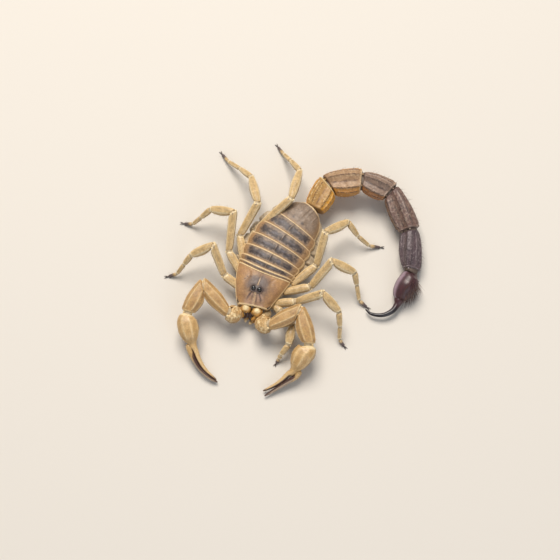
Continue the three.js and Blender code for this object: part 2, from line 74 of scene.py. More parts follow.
camera = bpy.data.objects.new("camera", bpy.data.cameras.new("camera"))
camera.data.lens = LENS
camera.data.sensor_width = SENSOR
camera.data.clip_start = NEAREST_SEEN
flat_back = VIEW_DISTANCE * math.cos(VIEW_UP)
camera.location = VIEW_TARGET + Vector((
    flat_back * math.sin(VIEW_FROM), -flat_back * math.cos(VIEW_FROM), VIEW_DISTANCE * math.sin(VIEW_UP)))
camera.rotation_euler = aimed_at_target(camera.location)
bpy.context.scene.collection.objects.link(camera)
bpy.context.scene.camera = camera
bpy.context.scene.view_settings.view_transform = "Standard"
print("camera at", [round(value, 4) for value in camera.location])


# %% Colours and nodes
def linear(hex_colour):
    """An sRGB hex colour as the linear colour that a shader works in."""
    channels = [int(hex_colour[i:i + 2], 16) / 255 for i in (1, 3, 5)]
    return [c / 12.92 if c <= 0.04045 else ((c + 0.055) / 1.055) ** 2.4 for c in channels] + [1]


def add(tree, kind, links=None, **settings):
    """Adds a node: its settings, then its inputs. Each input is a plain value, the output of another
    node, or a node, which stands for its first output."""
    node = tree.nodes.new(kind)
    for key, value in settings.items():
        setattr(node, key, value)
    for key, value in (links or {}).items():
        if isinstance(value, bpy.types.Node):
            value = value.outputs[0]
        if isinstance(value, bpy.types.NodeSocket):
            tree.links.new(value, node.inputs[key])
        else:
            node.inputs[key].default_value = value
    return node


print("cream in linear light:", [round(value, 3) for value in linear("#ead0a0")])

# %% Lamps, sky and floor
SKY_STRENGTH = 0.36
BOARD_ROUGHNESS, FLOOR_HALF = 0.9, 1.5
LAMPS = {  # place and size in metres, power in watts
    "key_lamp": ((-0.22, 0.26, 0.66), 0.42, 6.4, "#fff7ee"),
    "fill_lamp": ((0.50, -0.42, 0.38), 0.5, 1.3, "#eaf1ff"),
}
for name, (place, size, power, colour) in LAMPS.items():
    light = bpy.data.lights.new(name, "AREA")
    light.size = size
    light.energy = power
    light.color = linear(colour)[:3]
    holder = bpy.data.objects.new(name, light)
    holder.location = place
    holder.rotation_euler = aimed_at_target(place)
    bpy.context.scene.collection.objects.link(holder)

world = bpy.data.worlds.new("open_sky")
world.use_nodes = True
sky = world.node_tree.nodes["Background"].inputs
sky["Color"].default_value = linear("#eef1f6")
sky["Strength"].default_value = SKY_STRENGTH
bpy.context.scene.world = world

board = bpy.data.materials.new("pale_matt_board")
board.use_nodes = True
board_shader = board.node_tree.nodes["Principled BSDF"]
board_shader.inputs["Base Color"].default_value = linear("#d6d1c8")
board_shader.inputs["Roughness"].default_value = BOARD_ROUGHNESS
floor_mesh = bpy.data.meshes.new("floor")
floor_corners = [(x * FLOOR_HALF, y * FLOOR_HALF, 0) for x, y in ((-1, -1), (1, -1), (1, 1), (-1, 1))]
floor_mesh.from_pydata(floor_corners, [], [(0, 1, 2, 3)])
floor_mesh.materials.append(board)
floor = bpy.data.objects.new("floor", floor_mesh)
bpy.context.scene.collection.objects.link(floor)
print("lamps:", list(LAMPS))

# %% [markdown]
# ## Curves through a few sizes
#
# Every tube and plate is a set of rings. A handful of stops along the part say how wide and deep it is,
# and a smooth curve runs through them. The curve is one that never overshoots, because a bulge that
# nobody asked for would break the outline. Keels and furrows are soft hills across that surface, and
# masks fade in and out with soft steps, so that no mark on the animal has a ruled edge.

# %% Smooth curves
UP = np.array([0.0, 0.0, 1.0])
STAND_AT = np.array([-3.3, -3.5, 0.0])  # where the back of the carapace stands on the floor


def unit(vectors):
    return vectors / np.maximum(np.linalg.norm(vectors, axis=-1, keepdims=True), 1e-9)


def ease(stops, places, loose=False):
    """Smooth curve through stops of [place, values]. A loose one may swing past them, as a limb does."""
    stops = np.array(stops, float)
    places = np.asarray(places, float)
    x, y = stops[:, 0], stops[:, 1:]
    slope = np.diff(y, axis=0) / np.diff(x)[:, None]
    before, after = slope[:-1], slope[1:]
    steady = np.where(before * after > 0, 2 * before * after / (before + after + 1e-12), 0)
    inner = (before + after) / 2 if loose else steady
    tangent = np.vstack([slope[:1], inner, slope[-1:]])
    i = np.clip(np.searchsorted(x, places, "right") - 1, 0, len(x) - 2)
    step = (x[i + 1] - x[i])[..., None]
    t = np.clip((places - x[i])[..., None] / step, 0, 1)
    curve = (y[i] * (1 + 2 * t) * (1 - t) ** 2 + y[i + 1] * t ** 2 * (3 - 2 * t)
             + tangent[i] * step * t * (1 - t) ** 2 + tangent[i + 1] * step * t ** 2 * (t - 1))
    return curve[..., 0] if curve.shape[-1] == 1 else curve


def bump(distance, half_width):
    """A soft hill of height 1 over a distance from its middle."""
    return np.exp(-(distance / half_width) ** 2)


def rise(value, low, high):
    """Goes smoothly from 0 at the low value to 1 at the high one."""
    t = np.clip((value - low) / (high - low), 0, 1)
    return t * t * (3 - 2 * t)


def between(value, low, high, end, gone):
    """Rises from 0 to 1 between the first two values and falls back between the last two."""
    return rise(value, low, high) * (1 - rise(value, end, gone))


print("half way up a soft step:", rise(0.5, 0, 1))

# %% [markdown]
# ## Soft noise
#
# Nothing grown is even. A smooth random field gives every fold, blotch and ragged edge. Blender's noise
# texture could do it in a material, but here the same field has to move points and paint masks, so it is
# worked out on the points: random values on a grid of cells, blended inside each cell.

# %% Soft noise
GRID_PRIMES, SEED_PRIME, SCRAMBLE = (73856093, 19349663, 83492791), 26544357, 1274126177


def mottle(points, size, seed=1):
    """A smooth random field from -1 to 1 whose patches are about this size."""
    scaled = points / size
    cell = np.floor(scaled).astype(np.int64)
    share = scaled - cell
    share = share * share * (3 - 2 * share)
    total = np.zeros(points.shape[:-1])
    for corner in np.ndindex(2, 2, 2):
        x, y, z = np.moveaxis((cell + np.array(corner)) * GRID_PRIMES, -1, 0)
        mixed = x ^ y ^ z ^ (seed * SEED_PRIME)
        mixed = (mixed ^ (mixed >> 13)) * SCRAMBLE
        value = ((mixed >> 8) & 0xFFFF) / 0x7FFF - 1
        total += value * np.prod(np.where(corner, share, 1 - share), axis=-1)
    return total


print("noise at one point:", round(float(mottle(np.array([0.3, 0.4, 0.5]), 1.0)), 3))

# %% [markdown]
# ## A shell
#
# A shell is a stack of rings that closes at both ends. A tube closes with a cap, and a plate, which is
# an arch with an inner face, closes by joining its outer edge to its inner one. Beside its points, a
# shell carries painted masks, such as where a dark band lies, so that a finish can follow the anatomy
# and not the room. It also remembers lines along which beads will sit later.

# %% The shell
class Shell:
    """A closed skin of rings, with the masks painted on it."""

    def __init__(self, rings, ends="cap"):
        self.rings = rings
        self.ends = ends
        self.masks = {}
        self.lines = []
        self.lie = unit(np.gradient(rings, axis=0))

    def out(self):
        """Direction straight out of the skin at each point."""
        around = np.roll(self.rings, -1, axis=1) - np.roll(self.rings, 1, axis=1)
        return unit(np.cross(around, np.gradient(self.rings, axis=0)))

    def push(self, height):
        """Moves the skin outwards by a height, in mm."""
        self.rings = self.rings + self.out() * np.broadcast_to(height, self.rings.shape[:2])[..., None]
        return self

    def rest_on_floor(self):
        """Flattens what would reach below the floor."""
        self.rings[..., 2] = np.maximum(self.rings[..., 2], 0)

    def paint(self, **masks):
        """Keeps a mask from 0 to 1 under each name."""
        for name, mask in masks.items():
            self.masks[name] = np.clip(np.broadcast_to(mask, self.rings.shape[:2]), 0.0, 1.0)
        return self

    def bead(self, rows, columns, size):
        """Asks for a line of beads over the points at these rows and columns."""
        self.lines.append((*np.broadcast_arrays(rows, columns), size))


def ball(centre, radii, rows=18, sides=28, axis=UP):
    """A closed round lump."""
    lean = unit(np.cross(axis, [0.3, 1.0, 0.1]))
    over = np.cross(axis, lean)
    down = np.linspace(0.06, math.pi - 0.06, rows)[::-1, None]
    turn = np.linspace(0, 2 * math.pi, sides, endpoint=False)[None, :]
    wide, deep, high = radii
    return Shell(np.asarray(centre) + (wide * np.sin(down) * np.cos(turn))[..., None] * lean
                 + (deep * np.sin(down) * np.sin(turn))[..., None] * over
                 + (high * np.cos(down) * np.ones_like(turn))[..., None] * np.asarray(axis))


print("points of a small ball:", ball([0, 0, 0], [1, 1, 1]).rings.shape[:2])

# %% [markdown]
# ## A mesh from shells
#
# A mesh needs points, faces and, for a texture, a flat chart. On a stack of
# rings, the face between two rings and two columns follows a rule. Each shell is unwrapped like a label
# off a tin, and the labels of one piece fill the cells of a square chart. The masks become attributes on
# the points, which a material can read.

# %% Faces of a shell
def ring_faces(shell, first):
    """Corners of a shell's faces, and where each corner lies on the shell's own unwrap."""
    rows, sides = shell.rings.shape[:2]
    ids = first + np.arange(rows * sides).reshape(rows, sides)
    after = np.roll(ids, -1, axis=1)
    quads = np.stack([ids[:-1], after[:-1], after[1:], ids[1:]], -1).reshape(-1, 4)
    i, j = np.mgrid[0:rows - 1, 0:sides]
    quad_uv = np.stack([
        np.stack([j, j + 1, j + 1, j], -1) / sides, np.stack([i, i, i + 1, i + 1], -1) / (rows - 1)], -1)
    quad_uv = quad_uv.reshape(-1, 4, 2)
    if shell.ends == "zip":
        half = sides // 2
        k = np.arange(half - 1)
        corners = np.stack([k, k + 1, sides - 2 - k, sides - 1 - k], -1)
        ends = np.vstack([ids[0][corners[:, ::-1]], ids[-1][corners]])
        end_uv = np.stack([np.vstack([corners[:, ::-1], corners]) / sides,
                           np.repeat([[0.0], [1.0]], half - 1, axis=0) * np.ones(4)], -1)
        return np.vstack([quads, ends]), np.vstack([quad_uv, end_uv]), None, None
    pole = first + rows * sides
    fans = np.vstack([np.stack([np.full(sides, pole), after[0], ids[0]], -1),
                      np.stack([np.full(sides, pole + 1), ids[-1], after[-1]], -1)])
    k = np.arange(sides)
    fan_uv = np.stack([
        np.vstack([np.stack([k + 0.5, k + 1, k], -1), np.stack([k + 0.5, k, k + 1], -1)]) / sides,
        np.vstack([np.tile([0.0, 0.01, 0.01], (sides, 1)), np.tile([1.0, 0.99, 0.99], (sides, 1))])], -1)
    return quads, quad_uv, fans, fan_uv


# %% Fields of a shell
def fields_of(shell, names):
    """All that the mesh keeps at the shell's points: the rings, then the poles, then the bead lines."""
    none = np.zeros(shell.rings.shape[:2])
    grids = {"point": shell.rings, "out": shell.out(), "lie": shell.lie, "bead": none}
    grids.update({key: shell.masks.get(key, none) for key in names})
    fields = {key: [grid.reshape(-1, *grid.shape[2:])] for key, grid in grids.items()}
    if shell.ends == "cap":
        for key, grid in grids.items():
            fields[key].append(np.stack([grid[0].mean(axis=0), grid[-1].mean(axis=0)]))
        fields["out"][-1] = np.stack([-shell.lie[0, 0], shell.lie[-1, 0]])
        fields["lie"][-1] = np.stack([shell.lie[0, 0], shell.lie[-1, 0]])
    for rows, columns, size in shell.lines:
        for key, grid in grids.items():
            fields[key].append(grid[rows, columns])
        fields["bead"][-1] = np.full(len(rows), size)
    return fields


# %% One mesh from several shells
def mesh_of(name, shells):
    """One mesh from several shells. Each shell's unwrap fills its own cell of a square chart."""
    names = sorted({key for shell in shells for key in shell.masks})
    across = math.ceil(math.sqrt(len(shells)))
    kept = {key: [] for key in ("point", "out", "lie", "bead", *names)}
    quads, quad_uv, fans, fan_uv, loose = [], [], [], [], []
    count = 0
    for index, shell in enumerate(shells):
        corner = np.array([index % across, index // across]) / across
        four, four_uv, three, three_uv = ring_faces(shell, count)
        quads.append(four)
        quad_uv.append(corner + (0.04 + 0.92 * four_uv) / across)
        if three is not None:
            fans.append(three)
            fan_uv.append(corner + (0.04 + 0.92 * three_uv) / across)
        fields = fields_of(shell, names)
        lengths = [len(part) for part in fields["point"]]
        line_starts = count + np.cumsum([0, *lengths])[len(lengths) - len(shell.lines):-1]
        for start, length in zip(line_starts, lengths[len(lengths) - len(shell.lines):]):
            loose.append(np.stack([np.arange(length - 1), np.arange(1, length)], -1) + start)
        for key, parts in fields.items():
            kept[key] += parts
        count += sum(lengths)
    four = np.vstack(quads)
    three = np.vstack(fans) if fans else np.zeros((0, 3), int)
    mesh = bpy.data.meshes.new(name)
    mesh.vertices.add(count)
    standing = (np.vstack(kept.pop("point")) + STAND_AT) * MM
    standing[:, 2] = np.maximum(standing[:, 2], 0)
    mesh.vertices.foreach_set("co", standing.ravel())
    corners = np.concatenate([four.ravel(), three.ravel()])
    mesh.loops.add(len(corners))
    mesh.loops.foreach_set("vertex_index", corners)
    mesh.polygons.add(len(four) + len(three))
    starts = np.concatenate([np.arange(len(four)) * 4, four.size + np.arange(len(three)) * 3])
    mesh.polygons.foreach_set("loop_start", starts)
    if loose:
        lines = np.vstack(loose)
        mesh.edges.add(len(lines))
        mesh.edges.foreach_set("vertices", lines.ravel())
    mesh.update(calc_edges=True)
    chart = mesh.uv_layers.new(name="chart")
    flat_uv = np.concatenate([np.vstack(quad_uv).ravel(), np.vstack(fan_uv).ravel() if fans else []])
    chart.uv.foreach_set("vector", flat_uv)
    for key in (*names, "bead"):
        scale = MM if key == "bead" else 1
        values = np.concatenate(kept[key]) * scale
        mesh.attributes.new(key, "FLOAT", "POINT").data.foreach_set("value", values)
    for key in ("out", "lie"):
        vectors = np.vstack(kept[key]).ravel()
        mesh.attributes.new(key, "FLOAT_VECTOR", "POINT").data.foreach_set("vector", vectors)
    mesh.shade_smooth()
    return mesh


test_ball = mesh_of("test_ball", [ball([0, 0, 0], [1, 1, 1])])
print("faces of a small ball:", len(test_ball.polygons))
bpy.data.meshes.remove(test_ball)

# %% [markdown]
# ## Grains and beads
#
# Cuticle is rarely bare. Small grains cover it and rows of beads run along the keels. They repeat and
# they follow a surface, which is what Geometry Nodes are for. This tree keeps the shell, scatters grains
# where the mask "grain" allows, and sets beads on the loose lines that the shell carries. Grains inherit
# the masks below them, so they take the colour of their place. An edge that belongs to a bead line is
# known by having no face beside it.

# %% The grained tree: its inputs
def new_tree(name, inputs):
    """A Geometry Nodes tree with named inputs of (name, kind, value) and a geometry in and out."""
    tree = bpy.data.node_groups.new(name, "GeometryNodeTree")
    for way in ("INPUT", "OUTPUT"):
        tree.interface.new_socket("Geometry", in_out=way, socket_type="NodeSocketGeometry")
    for label, kind, value in inputs:
        socket = tree.interface.new_socket(label, in_out="INPUT", socket_type="NodeSocket" + kind)
        if value is not None:
            socket.default_value = value
    return tree


grained = new_tree("grained_shell", [
    ("Grain Spacing", "Float", 0.5 * MM), ("Grain Smallest", "Float", 0.06 * MM),
    ("Grain Largest", "Float", 0.12 * MM), ("Bead Spacing", "Float", 0.4 * MM),
    ("Bead Height", "Float", 0.8),
    ("Seed", "Int", 1), ("Finish", "Material", None)])
given = add(grained, "NodeGroupInput").outputs
neighbours = add(grained, "GeometryNodeInputMeshEdgeNeighbors").outputs["Face Count"]
is_line = add(grained, "FunctionNodeCompare", {2: neighbours, 3: 0}, data_type="INT", operation="EQUAL")
skin = add(grained, "GeometryNodeDeleteGeometry", {"Geometry": given["Geometry"], "Selection": is_line},
           domain="EDGE")
lines = add(grained, "GeometryNodeMeshToCurve", {"Mesh": given["Geometry"], "Selection": is_line})
print("inputs of the grained tree:", [socket.name for socket in given if socket.name])

# %% [markdown]
# A bead and a grain are the same pebble, an icosphere of 20 faces, because there are tens of thousands of
# them. Beads stand in even steps along a line, facing straight out. Grains keep a distance from each
# other, which looks more like a real surface than a plain random scatter.

# %% The grained tree: beads and grains
MOST_GRAINS = 4.0e7  # a square metre
pebble = add(grained, "GeometryNodeMeshIcoSphere", {"Radius": 1.0, "Subdivisions": 1}).outputs["Mesh"]
bead_places = add(grained, "GeometryNodeResampleCurve", {"Curve": lines, "Length": given["Bead Spacing"]},
                  mode="LENGTH")
bead_size, line_out, where = [
    add(grained, "GeometryNodeInputNamedAttribute", {"Name": name}, data_type=kind)
    for name, kind in (("bead", "FLOAT"), ("out", "FLOAT_VECTOR"), ("grain", "FLOAT"))]
bead_turn = add(grained, "FunctionNodeAlignRotationToVector", {"Vector": line_out}, axis="Z")
varied = add(grained, "FunctionNodeRandomValue", {2: 0.75, 3: 1.2, "Seed": given["Seed"]},
             data_type="FLOAT").outputs[1]
bead_radius = add(grained, "ShaderNodeMath", {0: bead_size, 1: varied}, operation="MULTIPLY")
bead_high = add(grained, "ShaderNodeMath", {0: bead_radius, 1: given["Bead Height"]}, operation="MULTIPLY")
bead_scale = add(grained, "ShaderNodeCombineXYZ", {0: bead_radius, 1: bead_radius, 2: bead_high})
beads = add(grained, "GeometryNodeInstanceOnPoints",
            {"Points": bead_places, "Instance": pebble, "Rotation": bead_turn, "Scale": bead_scale})
scatter = add(grained, "GeometryNodeDistributePointsOnFaces",
              {"Mesh": skin, "Distance Min": given["Grain Spacing"], "Density Max": MOST_GRAINS,
               "Density Factor": where, "Seed": given["Seed"]}, distribute_method="POISSON").outputs
grain_radius = add(grained, "FunctionNodeRandomValue",
                   {2: given["Grain Smallest"], 3: given["Grain Largest"], "Seed": given["Seed"]},
                   data_type="FLOAT").outputs[1]
grains = add(grained, "GeometryNodeInstanceOnPoints",
             {"Points": scatter["Points"], "Instance": pebble, "Rotation": scatter["Rotation"],
              "Scale": grain_radius})
together = add(grained, "GeometryNodeJoinGeometry")
for part in (grains, beads, skin):
    grained.links.new(part.outputs[0], together.inputs[0])
print("nodes so far:", len(grained.nodes))

# %% [markdown]
# Both trees of this lesson end the same way: instances become real mesh, nothing reaches below the floor,
# faces are shaded smooth and the finish is set. So one function ends them.

# %% The end of a tree
def end_tree(tree, geometry, finish):
    """Presses what would reach below the floor flat onto it, smooths, sets the finish and hands over."""
    spot = add(tree, "GeometryNodeInputPosition")
    parts = add(tree, "ShaderNodeSeparateXYZ", {0: spot}).outputs
    height = add(tree, "ShaderNodeMath", {0: parts["Z"], 1: 0.0}, operation="MAXIMUM")
    lifted = add(tree, "ShaderNodeCombineXYZ", {0: parts["X"], 1: parts["Y"], 2: height})
    standing = add(tree, "GeometryNodeSetPosition", {"Geometry": geometry, "Position": lifted})
    smooth = add(tree, "GeometryNodeSetShadeSmooth", {"Geometry": standing})
    finished = add(tree, "GeometryNodeSetMaterial", {"Geometry": smooth, "Material": finish})
    add(tree, "NodeGroupOutput", {0: finished})
    print(tree.name, "has", len(tree.nodes), "nodes")


solid = add(grained, "GeometryNodeRealizeInstances", {0: together})
end_tree(grained, solid, given["Finish"])

# %% [markdown]
# ## From a tree to a plain piece
#
# The tree runs as a modifier. Its inputs are set before the object is first evaluated, the result is
# kept as a plain mesh, and the modifier goes. Then the piece is handed to the frame: which body carries
# it and which solids it stands for.

# %% Pieces
HELPERS = ("out", "lie", "bead", "grain", "hairy")  # attributes that only the trees read
made = []


def grown(name, mesh, tree, **inputs):
    """Runs a tree on a mesh and keeps the result as a plain mesh in an object of that name."""
    holder = bpy.data.objects.new(name, mesh)
    modifier = holder.modifiers.new(name, "NODES")
    modifier.node_group = tree
    for socket in tree.interface.items_tree:
        if socket.in_out == "INPUT" and socket.name in inputs:
            modifier[socket.identifier] = inputs[socket.name]
    bpy.context.scene.collection.objects.link(holder)
    depsgraph = bpy.context.evaluated_depsgraph_get()
    result = bpy.data.meshes.new_from_object(holder.evaluated_get(depsgraph), depsgraph=depsgraph)
    holder.modifiers.clear()
    holder.data = result
    return holder


def settle(holder, nodes=()):
    """Hands a finished object to the frame."""
    for leftover in HELPERS:
        found = holder.data.attributes.get(leftover)
        if found:
            holder.data.attributes.remove(found)
    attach(holder, "root")
    if nodes:
        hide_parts(*nodes)
    holder.data.calc_loop_triangles()
    made.append((holder.name, len(holder.data.loop_triangles)))


def piece(name, shells, finish, nodes=(), grain=(0.5, 0.05, 0.1), beads=(0.4, 0.7), seed=1):
    """A finished piece from its shells. Grain is spacing, smallest and largest radius, and beads are
    spacing in mm and height against radius."""
    spacing, smallest, largest = grain
    holder = grown(name, mesh_of(name, shells), grained, **{
        "Grain Spacing": spacing * MM, "Grain Smallest": smallest * MM, "Grain Largest": largest * MM,
        "Bead Spacing": beads[0] * MM, "Bead Height": beads[1], "Seed": seed, "Finish": finish})
    settle(holder, nodes)


print("helper attributes:", HELPERS)

# %% [markdown]
# ## Finishes
#
# All the hard parts are cuticle: chitin hardened and tanned by the animal itself, the way leather is.
# Where it is thin and young it is straw and lets a little light in, and where it is thick it is brown
# and glossy. One recipe mixes two body colours in soft patches, lays the painted masks over them, and
# breaks the gloss with fine grain. Each finish then says how dark, how rough and how grainy it is.

# %% The recipe for cuticle
CHITIN_IOR, COAT_ROUGHNESS = 1.54, 0.15
PIT_DEPTH = 0.06  # mm
FLECKS_PER_GRIT = 2.4  # flecks are drawn this much coarser than the grit, so that they show


def cuticle(name, body, patches, masks=(), patch_size=1.6, grit=0.16, relief=0.25, rough=(0.38, 0.55),
            coat=0.0):
    """A finish of two body colours in patches, with painted masks of (name, colour, strength)."""
    finish = bpy.data.materials.new(name)
    finish.use_nodes = True
    tree = finish.node_tree
    shader = tree.nodes["Principled BSDF"]
    where = add(tree, "ShaderNodeTexCoord").outputs["Object"]
    broad = add(tree, "ShaderNodeTexNoise",
                {"Vector": where, "Scale": 1 / (patch_size * MM), "Detail": 3.0, "Roughness": 0.6})
    spread = add(tree, "ShaderNodeMapRange", {0: broad, 1: 0.36, 2: 0.64})
    colour = add(tree, "ShaderNodeMix", {0: spread, 6: linear(body), 7: linear(patches)},
                 data_type="RGBA").outputs[2]
    fine = add(tree, "ShaderNodeTexNoise",
               {"Vector": where, "Scale": 1 / (grit * FLECKS_PER_GRIT * MM), "Detail": 3.0})
    fleck = add(tree, "ShaderNodeMapRange", {0: fine, 1: 0.3, 2: 0.7, 3: 0.78, 4: 1.14})
    for mask, tint, strength in masks:
        # Half of a mask is laid on as painted, and half with an edge that the patches make ragged.
        painted = add(tree, "ShaderNodeAttribute", attribute_name=mask).outputs["Fac"]
        ragged = add(tree, "ShaderNodeMath", {0: broad, 1: 0.5}, operation="SUBTRACT")
        edge = add(tree, "ShaderNodeMath", {0: ragged, 1: 0.6, 2: painted}, operation="MULTIPLY_ADD")
        crisp = add(tree, "ShaderNodeMapRange", {0: edge, 1: 0.3, 2: 0.7, 4: strength})
        faint = add(tree, "ShaderNodeMath", {0: painted, 1: strength}, operation="MULTIPLY")
        share = add(tree, "ShaderNodeMix", {0: 0.5, 2: crisp, 3: faint})
        colour = add(tree, "ShaderNodeMix", {0: share, 6: colour, 7: linear(tint)},
                     data_type="RGBA").outputs[2]
    shaded = add(tree, "ShaderNodeMix", {0: 1.0, 6: colour, 7: fleck},
                 data_type="RGBA", blend_type="MULTIPLY")
    tree.links.new(shaded.outputs[2], shader.inputs["Base Color"])
    gloss = add(tree, "ShaderNodeMapRange", {0: broad, 1: 0.3, 2: 0.7, 3: rough[0], 4: rough[1]})
    tree.links.new(gloss.outputs[0], shader.inputs["Roughness"])
    grains = add(tree, "ShaderNodeTexVoronoi", {"Vector": where, "Scale": 1 / (grit * MM)})
    height = add(tree, "ShaderNodeMath", {0: grains.outputs["Distance"], 1: fine}, operation="ADD")
    pits = add(tree, "ShaderNodeBump", {"Strength": relief, "Distance": PIT_DEPTH * MM, "Height": height})
    tree.links.new(pits.outputs[0], shader.inputs["Normal"])
    shader.inputs["IOR"].default_value = CHITIN_IOR
    shader.inputs["Coat Weight"].default_value = coat
    shader.inputs["Coat Roughness"].default_value = COAT_ROUGHNESS
    return finish


# %% Finishes of the trunk
# Carapace: tanned, finely granular chitin, matt between its grains, slate pigment round the eyes.
carapace_finish = cuticle(
    "granular_carapace_chitin", "#b88e5e", "#a67d55", patch_size=2.2, relief=0.3, rough=(0.42, 0.6),
    masks=[("shade", "#5f534f", 0.96), ("mauve", "#c6a28b", 0.72), ("slate", "#332d31", 0.95),
           ("pale", "#d3b389", 0.7), ("rim", "#ead0a0", 0.92)])
# Back plates: grey-taupe chitin with slate pigment bars, orange-tan margins and a cream rear rim, and a
# painted bluish highlight inside each bar.
back_finish = cuticle(
    "banded_back_plate_chitin", "#88735f", "#776452", patch_size=1.1, relief=0.3, rough=(0.4, 0.56),
    masks=[("margin", "#ae875a", 0.75), ("slate", "#332929", 0.95), ("sheen", "#7b777d", 0.5),
           ("rim", "#dfc294", 0.88)])
# Soft folded skin of the flanks and joints: unhardened cuticle, dull, with shade painted into its creases.
skin_finish = cuticle(
    "soft_pleural_skin", "#c9b89c", "#b3a186", patch_size=0.9, relief=0.4, rough=(0.55, 0.7),
    masks=[("crease", "#54483d", 0.85), ("under", "#cbb287", 0.8), ("dark", "#4a3a34", 0.9)])
# Underside plates: thin pale cuticle, smooth from rubbing on sand.
underside_finish = cuticle("smooth_underside_chitin", "#d0b587", "#c4a778", relief=0.15, rough=(0.35, 0.5),
    masks=[("rim", "#e4cc9c", 0.8), ("dark", "#6b5140", 0.9)])
# Eyes: single clear lenses over black pigment.
eye_finish = cuticle("black_eye_lens", "#08080a", "#101014", relief=0.0, rough=(0.03, 0.05), coat=1.0)
print("finishes:", len(bpy.data.materials))

# %% Finishes of the limbs
# Legs: thin straw cuticle, satin, cream at the joint rims and grey-brown at the toes.
straw_finish = cuticle(
    "straw_leg_chitin", "#d8ba87", "#c3a471", patch_size=1.2, relief=0.22, rough=(0.36, 0.5),
    masks=[("shade", "#8f7650", 0.8), ("rim", "#eeddb4", 0.88), ("dark", "#51454a", 0.95)])
# Claws of the toes: hard dark horn-like tips.
toe_finish = cuticle("dark_toe_claw_chitin", "#3b2f2d", "#4a3a33", relief=0.1, rough=(0.25, 0.35), coat=0.3)
# Pedipalp arms: tan cuticle with granular keels.
arm_finish = cuticle(
    "keeled_arm_chitin", "#c69f66", "#b38b58", patch_size=1.5, relief=0.32, rough=(0.38, 0.52),
    masks=[("shade", "#96744e", 0.75), ("rim", "#ecd6a6", 0.9), ("dark", "#4a3527", 0.9)])
# Palms: swollen smooth straw-gold cuticle with a soft polish, and dark tanned biting edges.
palm_finish = cuticle(
    "polished_palm_chitin", "#cfab74", "#bd965c", patch_size=2.0, relief=0.14, rough=(0.38, 0.5), coat=0.05,
    masks=[("shade", "#a17d50", 0.75), ("rim", "#eedbb0", 0.85), ("dark", "#43291f", 0.96)])
# Movable fingers: the most heavily tanned part of the claw, dark brown with a pale worn outer edge.
finger_finish = cuticle(
    "dark_tanned_finger_chitin", "#4e3227", "#3f2822", patch_size=1.2, relief=0.12, rough=(0.25, 0.36),
    coat=0.2, masks=[("pale", "#ad957a", 0.92), ("rim", "#c9a46a", 0.95)])
# Mouthparts: amber cuticle with a waxy gloss, cream on the crowns; on the chelicerae's hands that cream is
# partly a painted highlight.
amber_finish = cuticle(
    "amber_mouthpart_chitin", "#b9863a", "#a0702c", patch_size=0.7, relief=0.25, rough=(0.38, 0.5),
    coat=0.04, masks=[("rim", "#e6d2a2", 0.92), ("dark", "#2c1b1a", 0.97)])
# Bristles: fine hard hairs, golden on the limbs and dark red-brown on the tail.
pale_bristle = cuticle("golden_bristle_chitin", "#a98b5a", "#8f744c", relief=0.0, rough=(0.35, 0.45))
dark_bristle = cuticle("dark_bristle_chitin", "#4a2f28", "#6b4632", relief=0.0, rough=(0.3, 0.4))
print("finishes:", len(bpy.data.materials))

# %% [markdown]
# ## The trunk's line
#
# The body curves gently to its left. Its midline is an arc, and each place on it, counted in mm from the
# rear edge of the carapace, has a half width, a height of the shield and a depth of the belly. The
# overlapping plates share these curves, so that they nest, and each is a stretch of the same arch.

# %% Trunk sizes
BEND, BEND_MIDDLE, RIM_HEIGHT = 54, 6, 5
FRONT, REAR = -9.8, 21.8
TRUNK_WIDTH = [[-9.8, 3.7], [-9.2, 4.5], [-7, 5.5], [-4.5, 6.45], [-1.5, 7.2], [2.6, 7.85], [6, 8.15],
               [10, 8.05], [13.5, 7.55], [16, 6.85], [18.6, 5.75], [20.4, 4.5], [21.8, 3]]
TRUNK_DOME = [[-9.8, 0.8], [-9.2, 1.7], [-7.6, 3], [-5, 3.6], [-1, 3.4], [5, 3.5], [11, 3.4], [16, 2.9],
              [19, 2.6], [21.8, 2.2]]
TRUNK_DEPTH = [[-9.8, 1.6], [-8.5, 2.6], [-5, 3.3], [0, 3.5], [17, 3.5], [20, 2.8], [21.8, 2]]
SHIELD_EDGES = [[-0.1, 1.1], [0.7, 0.9], [2.1, 0.4], [4.7, 0], [8, 0], [11.6, 0], [15.4, 0.1], [21.8, -0.4]]
PLATE_STEP, FLANK = 0.22, 1.1
OVER_THE_BACK = (math.pi / 2, -math.pi / 2)  # from the right rim over the top to the left rim


def midline(place):
    """Points of the midline at rim height, with the rearward and the rightward direction there."""
    turn = (np.asarray(place, float) - BEND_MIDDLE) / BEND
    start = BEND_MIDDLE / BEND
    at = np.stack([BEND * (np.cos(start) - np.cos(turn)), BEND * (np.sin(turn) + np.sin(start)),
                   np.full_like(turn, RIM_HEIGHT)], -1)
    rearward = np.stack([np.sin(turn), np.cos(turn), np.zeros_like(turn)], -1)
    return at, rearward, np.cross(UP, rearward)


def shield(place, angle, lift=0.0, bow=0.0, widths=TRUNK_WIDTH, domes=TRUNK_DOME):
    """Points over the back, with the height and the forward bow of the edge that a plate adds."""
    at, rearward, across = midline(place)
    lift, bow = np.broadcast_to(lift, place.shape), np.broadcast_to(bow, place.shape)
    side, up = np.sin(angle), np.abs(np.cos(angle)) ** 0.85
    wide = ease(widths, place)
    high = ease(domes, place) + lift
    return (at[:, None] + across[:, None] * (wide[:, None] * side)[..., None]
            - rearward[:, None] * (bow[:, None] * (1 - side ** 2))[..., None]
            + UP * (high[:, None] * up)[..., None])


def raised(grid, height):
    """The grid moved out of its own face by a height."""
    out = unit(np.cross(np.gradient(grid, axis=1), np.gradient(grid, axis=0)))
    return grid + out * np.broadcast_to(height, grid.shape[:2])[..., None]


